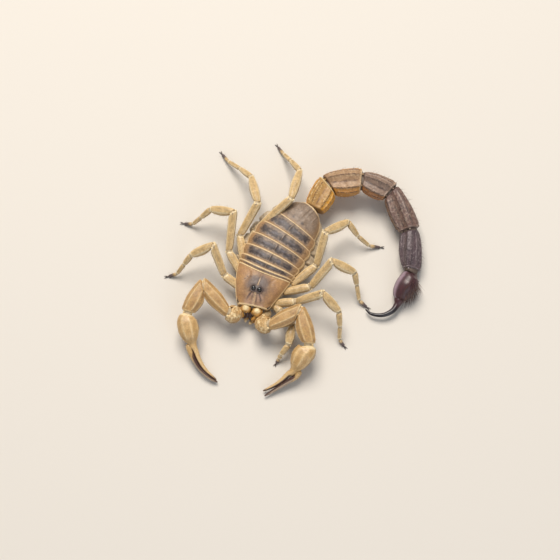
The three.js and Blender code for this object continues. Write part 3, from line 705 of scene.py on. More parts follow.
def plate(outer, thickness, **masks):
    """A plate from the grid of its outer face, with an inner face behind it and closed margins."""
    inner = raised(outer, -thickness)
    shell = Shell(np.concatenate([outer, inner[:, ::-1]], axis=1), ends="zip")
    doubled = {key: np.broadcast_to(mask, outer.shape[:2]) for key, mask in masks.items()}
    both = {key: np.concatenate([mask, mask[:, ::-1]], axis=1) for key, mask in doubled.items()}
    return shell.paint(**both)


print("trunk length:", round(REAR - FRONT, 1), "mm")

# %% [markdown]
# ## The carapace
#
# One plate covers head and chest. Two large eyes sit on a low hill near its middle, three tiny ones at
# each front corner. A furrow runs back from the hill, fine grains cover everything, and a smooth
# raised bead borders the plate. A sculpted mesh could do it, but a grid with sums of soft hills keeps
# every feature at a size in mm. First come the distances from which every feature is drawn.

# %% Carapace: the grid and its distances
EYE = {"radius": 0.62, "apart": 1.6, "at": -6.3, "height": 8.75}
CARAPACE_FRONT = -10.45  # the front rim stands a little over the mouthparts
CARAPACE_REAR = SHIELD_EDGES[0][0]
CARAPACE_BOW = [[CARAPACE_FRONT, -0.1], [-9.2, 0], [-5, 0], [-2.5, 0.5], [-0.1, 1.1]]
CARAPACE_WIDTH = [[CARAPACE_FRONT, 3.75], [-10.1, 4.25], [-9.2, 4.75], [-7, 5.6], *TRUNK_WIDTH[3:]]
CARAPACE_DOME = [[CARAPACE_FRONT, 0.75], [-10.1, 1.15], [-9.2, 1.9], [-7.6, 3], *TRUNK_DOME[3:]]
SIDE_STRETCH = 2.2  # mm over the curved side for a mm of width

place = np.linspace(CARAPACE_FRONT, CARAPACE_REAR - 0.05, 100)
angle = np.linspace(*OVER_THE_BACK, 121)
grid = shield(place, angle, 0.0, ease(CARAPACE_BOW, place), CARAPACE_WIDTH, CARAPACE_DOME)
along = place[:, None]
half = ease(CARAPACE_WIDTH, place)[:, None]
off = half * np.sin(angle)[None, :]  # mm to the animal's right of the midline
from_middle = np.abs(off)
from_side = half * (1 - np.abs(np.sin(angle))) * SIDE_STRETCH
to_rim = np.minimum(np.minimum(from_side, along - CARAPACE_FRONT), CARAPACE_REAR - along)
eye_gap = np.hypot(along - EYE["at"], off)
to_eye = np.hypot(along - EYE["at"], from_middle - EYE["apart"] / 2)
print("carapace grid:", grid.shape[:2], "widest", round(float(off.max()), 2), "mm from the midline")

# %% Carapace: its relief
brow = 0.3 * bump(to_eye - 0.8, 0.17) * rise(from_middle, 0.3, 0.9)  # the crest that guards each eye
hill = 0.5 * bump(eye_gap, 1.25) + brow
furrow = -0.16 * bump(off, 0.26) * between(along, -5.6, -4.6, -1.6, -0.6)
front_furrow = -0.12 * bump(off, 0.34) * (1 - rise(along, -8.2, -7.2))
side_furrow = -0.14 * bump(from_middle - 3.1 - 0.16 * (along + 3) ** 2, 0.5)
side_furrow = side_furrow * between(along, -5, -3.4, -2, -0.8)
folds = 0.09 * mottle(grid, 1.4, 3) + 0.035 * mottle(grid, 0.45, 4)
border = 0.13 * bump(to_rim - 0.22, 0.2)
grid = raised(grid, hill + furrow + front_furrow + side_furrow + folds * rise(to_rim, 0.3, 0.9) + border)
print("height over the eyes' hill:", round(float(grid[..., 2].max()), 2), "mm")

# %% [markdown]
# The pigment is darkest round the eyes, fades into a grey cloud behind them and streaks forward. Between
# the streaks the cuticle is mauve, and a pale line follows the furrow. Painting it by angle and distance
# from the eyes puts each mark where the animal has it, which no repeating texture would.

# %% Carapace: its pigment
DARK_SPOTS = ((-3.4, 3.4), (-3.1, 2.7), (-4.2, 3.9))  # places along and to the right
STREAKS = ((58, 11, 0.6), (30, 9, 1.0), (3, 8, 0.9))  # degrees from straight forward, width and strength
before_eyes = along < EYE["at"] + 0.5
ray = np.degrees(np.arctan2(from_middle - 0.45, EYE["at"] - along))  # 0 straight forward of an eye
ahead = (1 - rise(eye_gap, 2.4, 4.6)) * rise(eye_gap, 0.4, 0.9) * before_eyes
streaks = sum(strength * bump(ray - degrees, width) for degrees, width, strength in STREAKS)
streaks = streaks * ahead * (0.85 + 0.3 * mottle(grid, 1.3, 6))
spots = sum(bump(np.hypot(along - x, off - y), 0.24) for x, y in DARK_SPOTS)
slate = np.maximum(np.maximum(bump(to_eye, 0.95), 0.85 * streaks), 0.8 * spots)
blotch = 0.75 + 0.5 * mottle(grid, 0.7, 5)
cloud = bump(np.hypot((along + 4.7) / 1.45, off / 1.5), 2.5)
shade = np.maximum(cloud, 0.42 * bump(off, 3.6) * rise(along, -9.2, -7.2)) * (0.8 + 0.4 * blotch)
arch = bump(np.hypot(along - EYE["at"], off / 1.35) - 2.9, 0.8)
arch = arch * rise(along, EYE["at"] - 1.6, EYE["at"] + 1.0)
shade = np.maximum(shade, 0.6 * arch * (1 - 0.75 * rise(from_middle, 1.5, 3.6)))
mauve = bump(np.abs(ray) - 15, 42) * rise(eye_gap, 0.8, 1.6) * (along < EYE["at"] + 0.6)
mauve = mauve * (1 - rise(from_middle, 1.8, 3.8)) * blotch
pale = (bump(off, 0.17) * between(along, -5.7, -5, -3.2, -2.0)
        + 0.8 * bump(off, 0.42) * (along < -7.2) + 0.35 * bump(from_middle - 2.1, 0.3) * (along < -6.4))
carapace = plate(grid, 0.35, shade=shade, slate=slate, mauve=mauve, pale=pale,
                 rim=1 - rise(to_rim, 0.28, 0.5),
                 grain=rise(to_rim, 0.3, 0.7) * (1 - bump(off, 0.3)) * (1 - bump(to_eye, 1.0)))
piece("carapace_shell", [carapace], carapace_finish, ["carapace"],
      grain=(0.27, 0.028, 0.06), seed=3)
print("carapace:", made[-1])

# %% [markdown]
# ## Eyes
#
# A scorpion's eye is a single lens, a glassy bead sunk in the cuticle. A ball sunk to about its half in
# the hill gives the right wet highlight, and leaning it outwards shows more of it from the side.

# %% Eyes
eye_at, _, eye_across = midline(EYE["at"])
for side, sign in (("left", -1), ("right", 1)):
    spot = eye_at + eye_across * sign * EYE["apart"] / 2
    spot[2] = EYE["height"]
    lens = ball(spot, [EYE["radius"]] * 3, 26, 36, axis=unit(UP + eye_across * sign * 0.6))
    piece(f"median_eye_{side}_lens", [lens], eye_finish, [f"median_eye_{side}"])
CORNER_EYE_STEP, CORNER_EYE_RADIUS = 0.42, 0.24
corner_eyes = []
for sign in (-1, 1):
    for step in range(3):
        eye_place = CARAPACE_FRONT + 0.5 + CORNER_EYE_STEP * step
        spot_at, _, across = midline(eye_place)
        width = ease(CARAPACE_WIDTH, np.array([eye_place]))[0]
        spot = spot_at + across * sign * (width - 0.3) + UP * 0.66
        corner_eyes.append(ball(spot, [CORNER_EYE_RADIUS - 0.03 * step] * 3, 12, 18))
piece("corner_eyes", corner_eyes, eye_finish)
print("eyes:", made[-3:])

# %% [markdown]
# ## Seven back plates
#
# The plates overlap like roof tiles, each rear edge standing over the next plate. A bar of slate pigment
# crosses each of the middle ones, broken by a paler line down the back, and stops short of an orange-tan
# margin. The rear edge is a smooth cream bead with a row of grains before it. The last plate tapers to
# the tail, has short keels and only a few dark marks. One function makes all seven from their edges.

# %% A back plate: relief
LAST_KEELS = [(1.1, 0.45, 0.9), (2.9, 0.4, 0.8)]  # of the last plate: mm off the middle, start and end


def back_grid(index):
    """The outer face of one plate, with the distances that its pigment needs."""
    (front, front_bow), (rear, rear_bow) = SHIELD_EDGES[index - 1], SHIELD_EDGES[index]
    length = rear - front
    tucked = 0.55 if index > 1 else 0.3
    place = np.linspace(front - tucked, rear, max(14, int(length * 11)))
    share = np.clip((place - front) / length, -0.3, 1)[:, None]
    angle = np.linspace(*OVER_THE_BACK, 115)
    bow = front_bow + (rear_bow - front_bow) * np.clip(share[:, 0], 0, 1)
    lift = np.where(share[:, 0] < 0, -0.18, PLATE_STEP * share[:, 0])
    half = ease(TRUNK_WIDTH, place)[:, None]
    grid = shield(place, angle, lift=lift, bow=bow)
    _, _, across = midline(place)
    scallop = 0.16 - 0.3 * rise(share, 0.1, 0.55) + 0.2 * rise(share, 0.8, 1.0)  # plate ends bulge sideways
    grid = grid - across[:, None] * (np.sin(angle) ** 3 * scallop)[..., None]
    off = half * np.sin(angle)[None, :]
    from_side = half * (1 - np.abs(np.sin(angle))) * SIDE_STRETCH
    to_rear = (rear - place)[:, None]
    middle = 0.14 * bump(off, 0.3) * between(share, 0.2, 0.5, 0.88, 1)
    swell = 0.16 * np.sin(np.pi * np.clip(share, 0, 1)) * min(1, length / 3)
    bead = 0.12 * bump(to_rear - 0.2, 0.17) + 0.08 * bump(from_side - 0.25, 0.22)
    dent = -0.1 * bump(share - 0.3, 0.12) * bump(np.abs(off) - 0.42 * half, 1.1) * min(1, length / 3)
    keels = 0
    if index == 7:
        keels = sum(0.1 * bump(np.abs(off) - x * (1.25 - 0.35 * share), 0.16)
                    * between(share, start, start + 0.15, end, end + 0.1)
                    for x, start, end in LAST_KEELS)
    rumple = 0.05 * mottle(grid, 1.1, 10 + index) + 0.02 * mottle(grid, 0.35, 30 + index)
    grid = raised(grid, middle + swell + bead + dent + keels + rumple * rise(to_rear, 0.25, 0.6))
    return grid, share, half, off, from_side, to_rear


# %% A back plate: pigment
def back_plate(index):
    grid, share, half, off, from_side, to_rear = back_grid(index)
    from_middle = np.abs(off)
    ragged = 0.05 * mottle(grid, 0.9, 50 + index) + 0.1 * mottle(grid, 0.34, 70 + index)
    reach = 0.91 * half
    bar = between(share + ragged, 0.12, 0.27, 0.55, 0.9)
    bar = bar * (1 - rise(from_middle + 6 * ragged, reach - 2.0, reach + 0.5))
    cloudy = 0.84 + 0.3 * mottle(grid, 1.1, 90 + index) + 0.42 * mottle(grid, 0.42, 95 + index)
    bar = bar * (1 - 0.7 * bump(off, 0.17)) * cloudy
    margin = np.maximum(rise(from_middle, 0.7 * half, 0.92 * half), 0.75 * (1 - rise(share, 0.04, 0.2)))
    # Painted highlight: a bluish sheen over the middle of each half of the bar.
    sheen = bump(share - 0.5, 0.16) * bump(from_middle - 0.3 * half, 0.24 * half)
    sheen = sheen * (0.75 + 0.6 * mottle(grid, 0.7, 110 + index))
    rear_rim = 0.42
    if index == 1:
        bar = bar * 0.4
    if index == 7:
        marks = bump(share - 0.17, 0.07) * (bump(from_middle - 1.5, 0.55) + bump(from_middle - 3.3, 0.5))
        bar = 0.75 * marks * (0.8 + 0.5 * mottle(grid, 0.8, 57))
        margin, sheen, rear_rim = 0.6 * margin, 0, 0.5
    rim = np.maximum(1 - rise(to_rear, rear_rim - 0.18, rear_rim), 0.9 * (1 - rise(from_side, 0.5, 0.85)))
    grain = rise(share, 0.1, 0.4) * rise(to_rear, 0.25, 0.5) * (0.35 + 0.65 * rise(share, 0.5, 0.85))
    shell = plate(grid, 0.3, slate=bar, sheen=0.8 * sheen, margin=margin, rim=rim, grain=grain)
    row = int(np.argmin(np.abs(to_rear[:, 0] - 0.42)))
    shell.bead(row, np.arange(6, 109), 0.085)
    piece(f"tergite_{index}_plate", [shell], back_finish, [f"tergite_{index}"],
          grain=(0.34, 0.028, 0.055), beads=(0.26, 0.7), seed=20 + index)


for index in range(1, 8):
    back_plate(index)
print("back plates:", made[-7:])

# %% [markdown]
# ## Soft flanks and belly
#
# Between the hard back and the hard belly is a band of folded skin that lets the animal swell when it
# eats. It bulges beside each plate and creases between them. Cloth simulation could fold it, but the
# folds follow the plates' edges, which are known. One closed sac makes all of it, and it also fills the
# gaps under the overlapping plates.

# %% The sac of soft skin: its outline
SAC_BACK, SAC_LOBE, SAC_LOW = 61, 17, 49  # points over the back, round each flank and under the belly
place = np.linspace(FRONT + 0.5, REAR - 0.1, 230)
at, rearward, across = midline(place)
wide = ease(TRUNK_WIDTH, place)
edges = np.array([edge[0] for edge in SHIELD_EDGES])
nearest = np.min(np.abs(place[:, None] - edges[None, :]), axis=1)
pinch = bump(nearest, 0.45) * rise(place, -0.5, 1)
puff = (FLANK + 0.8) * rise(place, -3.5, 1.2) * (1 - 0.5 * rise(place, 18, REAR)) + 0.25
puff = puff * (1 - 0.38 * pinch)
back = np.linspace(*OVER_THE_BACK, SAC_BACK)
lobe = np.linspace(*OVER_THE_BACK, SAC_LOBE + 2)[1:-1]
low = np.linspace(-0.62 * math.pi, -1.38 * math.pi, SAC_LOW)


def section(side, height):
    """Points of the sac's outline at every place, from mm to the right and mm of height."""
    return at[:, None] * [1, 1, 0] + across[:, None] * side[..., None] + UP * height[..., None]


over = shield(place, back, lift=-0.3) - across[:, None] * (0.22 * np.sin(back))[None, :, None]
out_to = (wide - 0.25)[:, None] + puff[:, None] * np.cos(lobe)[None, :]
lobe_high = 3.55 + 1.25 * np.sin(lobe)[None, :] * (1 - 0.25 * pinch[:, None])
depth = (ease(TRUNK_DEPTH, place) - 0.3 - 0.8 * (1 - rise(place, 1.5, 4)))[:, None]
under = section((wide - 0.1)[:, None] * np.sin(low) / np.sin(0.38 * math.pi),
                RIM_HEIGHT - 0.3 - depth * np.abs(np.cos(low)) ** 0.6)
sac = Shell(np.concatenate(
    [over, section(-out_to, lobe_high), under, section(out_to, lobe_high)[:, ::-1]], axis=1))
print("sac:", sac.rings.shape[:2], "bulges", round(float(puff.max()), 2), "mm beyond the plates")

# %% The sac of soft skin: folds and creases
columns = np.arange(sac.rings.shape[1])
left_lobe = (columns > SAC_BACK - 2) & (columns < SAC_BACK + SAC_LOBE + 1)
right_lobe = columns > SAC_BACK + SAC_LOBE + SAC_LOW - 2
flank_band = (left_lobe | right_lobe)[None, :] * 1.0
level = sac.rings[..., 2]
wrinkle = np.cos(level * 6.5 + 1.5 * mottle(sac.rings, 1.6, 62)) * flank_band
sac.push(0.06 * wrinkle + 0.06 * mottle(sac.rings, 0.7, 60) + 0.03 * mottle(sac.rings, 0.25, 61))
# Painted shade in the creases between the plates and in the troughs of the wrinkles.
creases = np.maximum(0.9 * bump(nearest, 0.2)[:, None] * flank_band, 0.35 * (wrinkle < -0.7))
sac.paint(crease=creases, under=1 - rise(level, 2.0, 2.8))
piece("soft_flank_skin", [sac], skin_finish, ["belly"])
print("soft skin:", made[-1])

# %% [markdown]
# ## Limbs as chains of tubes
#
# A leg, an arm or the tail is a chain of joints, each given as a plan length, a heading and a height.
# A tube runs between two joints, and its end rings lean into the plane that halves the bend, so that
# the next tube meets it squarely. The outline is a soft square, or for the tail a keeled one. Blender's
# Skin modifier could grow tubes on a chain, but it can't be told a width, a depth and a roll at each place.

# %% A chain of joints
GAP = 0.13  # mm between a tube's end and its joint


def oval(sides, power=2.2):
    """A unit outline between a circle and a square."""
    turn = np.linspace(0, 2 * np.pi, sides, endpoint=False)
    soft = [np.sign(wave) * np.abs(wave) ** (2 / power) for wave in (np.cos(turn), np.sin(turn))]
    return np.stack(soft, -1)


def apart(turn, middle):
    """Degrees between two directions round a limb, where 90 is straight up."""
    return np.abs((turn - middle + 180) % 360 - 180)


def reach(root, steps):
    """Joints of a limb from its root and its steps of [plan length, heading, height]."""
    joints = [np.array(root, float)]
    for length, heading, height in steps:
        turn = math.radians(heading)
        x, y, _ = joints[-1]
        joints.append(np.array([x + length * math.cos(turn), y + length * math.sin(turn), height]))
    return np.array(joints)


def spine_of(joints, place, curved):
    """The middle, the direction and the face of a ring at each place of a chain."""
    if curved:
        stops = np.column_stack([np.arange(len(joints)), joints])
        centre = ease(stops, place, loose=True)
        forward = unit(np.gradient(centre, place, axis=0))
        return centre, forward, forward
    span = np.clip(place.astype(int), 0, len(joints) - 2)
    steps = unit(np.diff(joints, axis=0))
    mitres = unit(np.vstack([steps[:1], steps[:-1] + steps[1:], steps[-1:]]))
    part = (place - span)[:, None]
    centre = joints[span] + (joints[span + 1] - joints[span]) * part
    forward = steps[span]
    nearest = np.where(part < 0.5, mitres[span], mitres[span + 1])
    weight = 1 - np.abs(2 * part - 1)
    return centre, forward, unit(nearest * (1 - weight) + forward * weight)


print("joints of a short chain:", reach([0, 0, 1], [[2, 0, 1], [2, 90, 1]]).tolist())


# %% A tube along the chain
def tube(joints, form, first, last, size, outline=None, rolls=None, curved=False, shut=(0.5, 0.45),
         shoulder=0.4, gap=GAP):
    """A closed tube between two places of a chain. Its form is [joints passed, half across, half deep]."""
    rows, sides = size
    joints = np.asarray(joints, float)
    outline = oval(sides) if outline is None else outline
    rolls = np.zeros(len(joints)) if rolls is None else rolls
    even = np.linspace(0, 1, rows)
    share = 0.45 * even + 0.55 * (1 - np.cos(np.pi * even)) / 2  # rings stand closer near both ends
    lengths = np.linalg.norm(np.diff(joints, axis=0), axis=1)
    start = first + gap / lengths[int(first)]
    stop = last - gap / lengths[math.ceil(last) - 1]
    place = start + (stop - start) * share
    centre, forward, face = spine_of(joints, place, curved)
    across = unit(np.cross(UP, forward))
    over = np.cross(forward, across)
    wide, deep = np.moveaxis(ease(form, place), -1, 0)
    walked = np.concatenate([[0], np.cumsum(np.linalg.norm(np.diff(centre, axis=0), axis=1))])
    left = walked[-1] - walked
    root_end, far_end = [1 - closing * (1 - np.clip(gone / shoulder, 0, 1)) ** 2
                         for closing, gone in zip(shut, (walked, left))]
    roll = np.radians(np.interp(place, np.arange(len(joints)), rolls))[:, None]
    a = outline[None, :, 0] * (wide * root_end * far_end)[:, None]
    b = outline[None, :, 1] * (deep * root_end * far_end)[:, None]
    x = a * np.cos(roll) - b * np.sin(roll)
    z = a * np.sin(roll) + b * np.cos(roll)
    offset = across[:, None] * x[..., None] + over[:, None] * z[..., None]
    shear = np.sum(offset * face[:, None], -1) / np.sum(forward * face, -1)[:, None]
    shell = Shell(centre[:, None] + offset - forward[:, None] * shear[..., None])
    shell.place, shell.walked, shell.left = place[:, None], walked[:, None], left[:, None]
    shell.turn = (np.degrees(np.arctan2(outline[:, 1], outline[:, 0])) % 360)[None, :]
    shell.from_top = apart(shell.turn, 90)
    return shell


test_tube = tube([[0, 0, 1], [4, 0, 1]], [[0, 1, 1], [1, 1, 1]], 0, 1, (12, 16))
print("length of a test tube:", round(float(test_tube.walked[-1, 0]), 2), "mm")

# %% [markdown]
# Two hard knobs carry each joint, and a sleeve of soft skin closes it. The sleeve is a short bent tube
# with folds round it, a little narrower than the hard ends, so that it shows only where they part.

# %% Knobs and soft sleeves
KNOB_CORNERS = ((-1, 0.35), (1, 0.35))


def knobs(joints, index, wide, deep, radius, corners=KNOB_CORNERS, rolls=None, rim=1.0):
    """The hard knobs on which a joint turns, as [across, over] corners of the limb's outline."""
    before, after = unit(joints[index] - joints[index - 1]), unit(joints[index + 1] - joints[index])
    facing = unit(before + after)
    across = unit(np.cross(UP, facing))
    over = np.cross(facing, across)
    roll = math.radians(rolls[index]) if rolls is not None else 0
    lumps = []
    for a, b in corners:
        x = a * wide * math.cos(roll) - b * deep * math.sin(roll)
        z = a * wide * math.sin(roll) + b * deep * math.cos(roll)
        lump = ball(joints[index] + across * x + over * z, [radius] * 3, 10, 16)
        lumps.append(lump.paint(rim=rim))
    return lumps


def joint_skin(joints, index, wide, deep, reach_mm=0.7, rolls=None, dark=0.0):
    """The soft sleeve in a joint, with folds round it."""
    before = unit(joints[index - 1] - joints[index]) * reach_mm
    after = unit(joints[index + 1] - joints[index]) * reach_mm
    bend = joints[index] + (before + after) * 0.18
    chain = [joints[index] + before, bend, joints[index] + after]
    roll = None if rolls is None else [rolls[index]] * 3
    form = [[0, wide, deep], [1, wide * 1.04, deep * 1.04], [2, wide, deep]]
    sleeve = tube(chain, form, 0, 2, (15, 26), curved=True, rolls=roll, gap=0.02, shoulder=0.2,
                  shut=(0.3, 0.3))
    folds = np.cos(sleeve.walked / reach_mm * 9.5)
    # Painted shade lies in the troughs of the folds.
    return sleeve.push(0.05 * folds).paint(crease=0.55 * (folds < -0.2), dark=dark, under=0.5 * (dark == 0))


def sleeves_of(joints, sizes, **settings):
    """Sleeves in several joints, from rows of joint, half across and half deep."""
    return [joint_skin(joints, index, wide, deep, **settings) for index, wide, deep in sizes]


print("knobs at a joint:", len(KNOB_CORNERS))

# %% [markdown]
# ## Eight walking legs
#
# Each leg has a short trochanter, a deep femur that climbs to the knee, a patella that falls from it,
# and a slim tibia and two foot pieces that reach the ground. Low keels run along the big pieces, each
# far end has a cream rim, and the foot darkens towards two curved claws. The eight legs differ only in
# their chains, so one function grows them all.

# %% Leg sizes
LEG_HEIGHTS = [4.1, 5.4, 9.6, 7.1, 4.3, 1.4, 0.14]
LOW_LEG_HEIGHTS = [3.5, 3.8, 5, 4.4, 2.4, 1.2, 0.14]
HIND_LEG_HEIGHTS = [3, 4.4, 9, 7.1, 4.3, 1.4, 0.14]
LEGS = {
    "left_1": ([5.6, -6], [[3.7, -19], [5.2, -26], [5.1, -71], [2.9, -103], [0.8, -100], [1.2, -93]]),
    "left_2": ([6.4, -6], [[5.7, 29], [7.1, 37], [6, -15], [3.2, -54], [2.5, -62], [2, -21]]),
    "left_3": ([6.8, -2.3], [[7.5, 39], [8, 75], [6.5, 9], [2.5, -45], [3.4, -48], [2.6, -7]]),
    "left_4": ([7.6, 0.5], [[8.6, 67], [8.2, 103], [7.4, 62], [4, -17], [3.5, 3], [3.1, 29]]),
    "right_1": ([-2.9, -6.9], [[6.1, 173], [7.4, 144], [6.1, -133], [2.5, -113], [2.6, -111], [2.5, -141]]),
    "right_2": ([-4.4, -3.9], [[8.1, 149], [9.6, 113], [6.4, -167], [3, -127], [2.4, -133], [2.6, -162]]),
    "right_3": ([-5.9, -0.9], [[8.4, 128], [9, 88], [9, 132], [4.8, 160], [4.9, 164], [3.2, 153]]),
    "right_4": ([-7.2, 2.2], [[7.2, 99], [12.1, 68], [9.4, 105], [4.9, 150], [3.8, 150], [3.2, 151]]),
}
FEMUR_FORM = [[0, 0.8, 0.9], [0.45, 1.1, 1.2], [0.8, 1.15, 1.25], [1, 0.85, 0.95], [1.12, 0.95, 1.1],
              [1.5, 1.08, 1.25], [1.88, 1.12, 1.25], [2, 0.9, 1]]
PATELLA_FORM = [[2, 0.72, 0.84], [2.2, 1.08, 1.2], [2.5, 1.26, 1.36], [2.85, 0.98, 1.06], [3, 0.62, 0.7]]
FOOT_FORM = [[3, 0.62, 0.66], [3.25, 0.8, 0.86], [3.8, 0.66, 0.72], [4, 0.5, 0.54], [4.2, 0.58, 0.62],
             [4.85, 0.5, 0.52], [5, 0.4, 0.42], [5.25, 0.44, 0.48], [5.7, 0.38, 0.5], [6, 0.26, 0.32]]
LEG_TUBES = [  # form, rings and sides, and height of the keels, from the body outwards
    (FEMUR_FORM, (36, 40), 0.03), (FEMUR_FORM, (54, 40), 0.07), (PATELLA_FORM, (48, 40), 0.07),
    (FOOT_FORM, (40, 32), 0.03), (FOOT_FORM, (34, 28), 0.01), (FOOT_FORM, (34, 28), 0.0)]
LEG_SLEEVES = [(1, 0.8, 0.88), (2, 0.74, 0.82), (3, 0.56, 0.6), (4, 0.42, 0.46), (5, 0.33, 0.36)]
TOE_CLAW = {"length": 1.15, "rooted": 0.4, "spread": 17, "thick": 0.15, "drop": 0.1}
grounds = {"leg": [], "arm": [], "mouth": [], "tail": [], "bulb": []}  # shells that bristles will grow on


def leg_joints(name):
    root, parts = LEGS[name]
    heights = {"left_1": LOW_LEG_HEIGHTS, "right_4": HIND_LEG_HEIGHTS}.get(name, LEG_HEIGHTS)
    steps = [[length, heading, height] for (length, heading), height in zip(parts, heights[1:])]
    return reach([*root, heights[0]], steps)


print("foot of the first leg:", leg_joints("left_1")[-1].round(1).tolist())


# %% A tube of a leg
def podomere(joints, number, form, size, keel, seed):
    """One hard tube of a leg, with its keels, its cream far rim and its grain."""
    shell = tube(joints, form, number, number + 1, size)
    ends = rise(shell.walked, 0.2, 0.8) * rise(shell.left, 0.25, 0.8)
    upper, lower = [sum(bump(apart(shell.turn, turn), wide) for turn in turns)
                    for turns, wide in (((38, 142), 11), ((-12, 192), 10))]
    ridges = upper + 0.7 * lower
    lip = 0.07 * bump(shell.left - 0.3, 0.17) + 0.03 * bump(shell.walked - 0.3, 0.2)
    shell.push(keel * ridges * ends + lip + 0.02 * mottle(shell.rings, 0.5, seed))
    hollow = bump(shell.from_top, 24) * ends
    beneath = rise(shell.from_top, 62, 112)
    shade = np.maximum(0.5 * hollow, 0.8 * beneath) + 0.2 * mottle(shell.rings, 1.2, seed + 1)
    shade = np.maximum(shade, 0.75 * bump(shell.walked - 0.12, 0.16))
    below = 0.45 + 0.55 * bump(apart(shell.turn, 270), 80)
    # The rim mask holds the cream far rim, and the keels painted pale as highlights; the shade mask is
    # painted shade.
    return shell.paint(rim=np.maximum(bump(shell.left - 0.3, 0.26), 0.8 * ridges * ends), shade=shade,
                       dark=0, grain=0.9 * ends, hairy=rise(shell.walked, 0.3, 0.8) * below)


# %% The claws of a foot
def toe_claws(joints):
    """Two curved claws and the short spur between them."""
    tip, heel = joints[-1], joints[-2]
    heading = math.atan2(tip[1] - heel[1], tip[0] - heel[0])
    thick = TOE_CLAW["thick"]
    form = [[0, thick, thick], [1, thick * 0.85, thick], [2, thick * 0.5, thick * 0.6], [3, 0.03, 0.03]]
    claws = []
    for side, length in ((-1, 1.0), (0, 0.5), (1, 1.0)):
        turn = heading + math.radians(side * TOE_CLAW["spread"])
        outward = np.array([math.cos(turn), math.sin(turn), 0])
        full = TOE_CLAW["length"] * length
        arch = np.array([tip - outward * TOE_CLAW["rooted"], tip + outward * full * 0.3 + UP * 0.16,
                         tip + outward * full * 0.7 + UP * 0.12,
                         tip + outward * full - UP * TOE_CLAW["drop"]])
        arch[:, 2] = np.maximum(arch[:, 2], 0.06)
        claws.append(tube(arch, form, 0, 3, (18, 12), curved=True, gap=0.01, shoulder=0.1, shut=(0.3, 0.1)))
    return claws


# %% [markdown]
# A leg is three hard pieces, as its solids are: the trochanter with the femur, the patella, and the foot
# of three tubes. A dark spot marks the knee end of each femur, and only the last tube darkens to its tip.

# %% The legs
def leg(name, seed):
    joints = leg_joints(name)
    tubes = [podomere(joints, number, *row, seed + 2 * number) for number, row in enumerate(LEG_TUBES)]
    trochanter, femur, patella, tibia, metatarsus, tarsus = tubes
    femur.paint(dark=bump(np.hypot(femur.left - 0.55, femur.from_top * 0.018), 0.24))
    metatarsus.rest_on_floor()
    tarsus.rest_on_floor()
    tarsus.paint(dark=rise(tarsus.place, 5.1, 5.65), rim=0)
    hip_and_knee = knobs(joints, 1, 0.85, 0.9, 0.24) + knobs(joints, 2, 0.8, 0.85, 0.3)
    ankles = knobs(joints, 3, 0.6, 0.62, 0.2) + knobs(joints, 4, 0.42, 0.45, 0.13)
    coarse, fine = (0.55, 0.03, 0.055), (0.7, 0.02, 0.035)
    for part, shells, grain in (("femur", [trochanter, femur, *hip_and_knee], coarse),
                                ("patella", [patella], coarse),
                                ("foot", [tibia, metatarsus, tarsus, *ankles], fine)):
        solid = f"leg_{name}_{part}"
        piece(f"{solid}_shell", shells, straw_finish, [solid], grain=grain, seed=seed)
    piece(f"leg_{name}_toe_claws", toe_claws(joints), toe_finish)
    piece(f"leg_{name}_joint_skin", sleeves_of(joints, LEG_SLEEVES), skin_finish)
    grounds["leg"] += tubes


for number, name in enumerate(LEGS):
    leg(name, 100 + 20 * number)
print("legs:", len(LEGS), "triangles so far", sum(count for _, count in made))

# %% [markdown]
# ## The arms and their claws
#
# A pedipalp is an arm: a lumpy trochanter, a femur and a patella with rows of beaded keels, then a
# swollen smooth palm that narrows into the fixed finger. The movable finger is a separate hard piece on
# the outer side. Both fingers curve, and their biting edges are dark and saw-toothed.

# %% Arm sizes
ARMS = {
    "left": ([4.7, -9, 4.1],
             [[2.5, -80, 4.7], [3.9, -17, 6.6], [8.4, 51, 8.9], [8.6, -44, 6.6], [3.5, -92, 5.2],
              [3.9, -93, 3.6], [1.8, -118, 2.9], [2.4, -110, 2.1], [2.4, -120, 1.5], [3, -127, 0.9]],
             [21.4, -18.6, 3.4], [[2.1, -87, 2.7], [2.8, -105, 2], [3.3, -113, 1.4], [3.7, -130, 0.8]]),
    "right": ([0, -9.6, 4.1],
              [[3, -98, 4.8], [3.3, -132, 6.2], [9.3, 164, 8.2], [7.9, -91, 6.4], [4.3, -56, 5.2],
               [3.8, -44, 3.8], [1.9, -36, 3.3], [2.7, -37, 2.6], [3, -25, 2], [3.7, -10, 1]],
              [-7.8, -27.1, 3.5], [[3.3, -38, 2.6], [3.5, -31, 1.8], [3.9, -20, 1.3], [3.2, 4, 0.8]]),
}
TROCHANTER_FORM = [[0, 0.7, 0.8], [0.4, 1.05, 1.1], [0.8, 1.95, 1.8], [1.15, 2.3, 2.05], [1.6, 2.1, 1.95],
                   [2, 1.5, 1.5]]
ARM_FEMUR_FORM = [[2, 1.2, 1.3], [2.15, 1.55, 1.6], [2.55, 2.1, 1.9], [2.86, 1.9, 1.85], [3, 1.4, 1.4]]
ARM_PATELLA_FORM = [[3, 1.3, 1.35], [3.14, 1.75, 1.7], [3.5, 2.3, 2.1], [3.85, 1.95, 1.8], [4, 1.3, 1.3]]
PALM_FORM = [[4, 1.25, 1.25], [4.2, 2.05, 1.9], [4.6, 2.7, 2.4], [5, 2.75, 2.5], [5.45, 2.2, 2.15],
             [5.8, 1.35, 1.4], [6, 1.05, 1.1], [7, 0.78, 0.86], [8, 0.62, 0.72], [9, 0.46, 0.54],
             [10, 0.2, 0.24]]
FINGER_FORM = [[0, 0.75, 0.85], [0.3, 0.82, 0.95], [1, 0.68, 0.85], [2, 0.54, 0.7], [3, 0.42, 0.52],
               [4, 0.17, 0.2]]
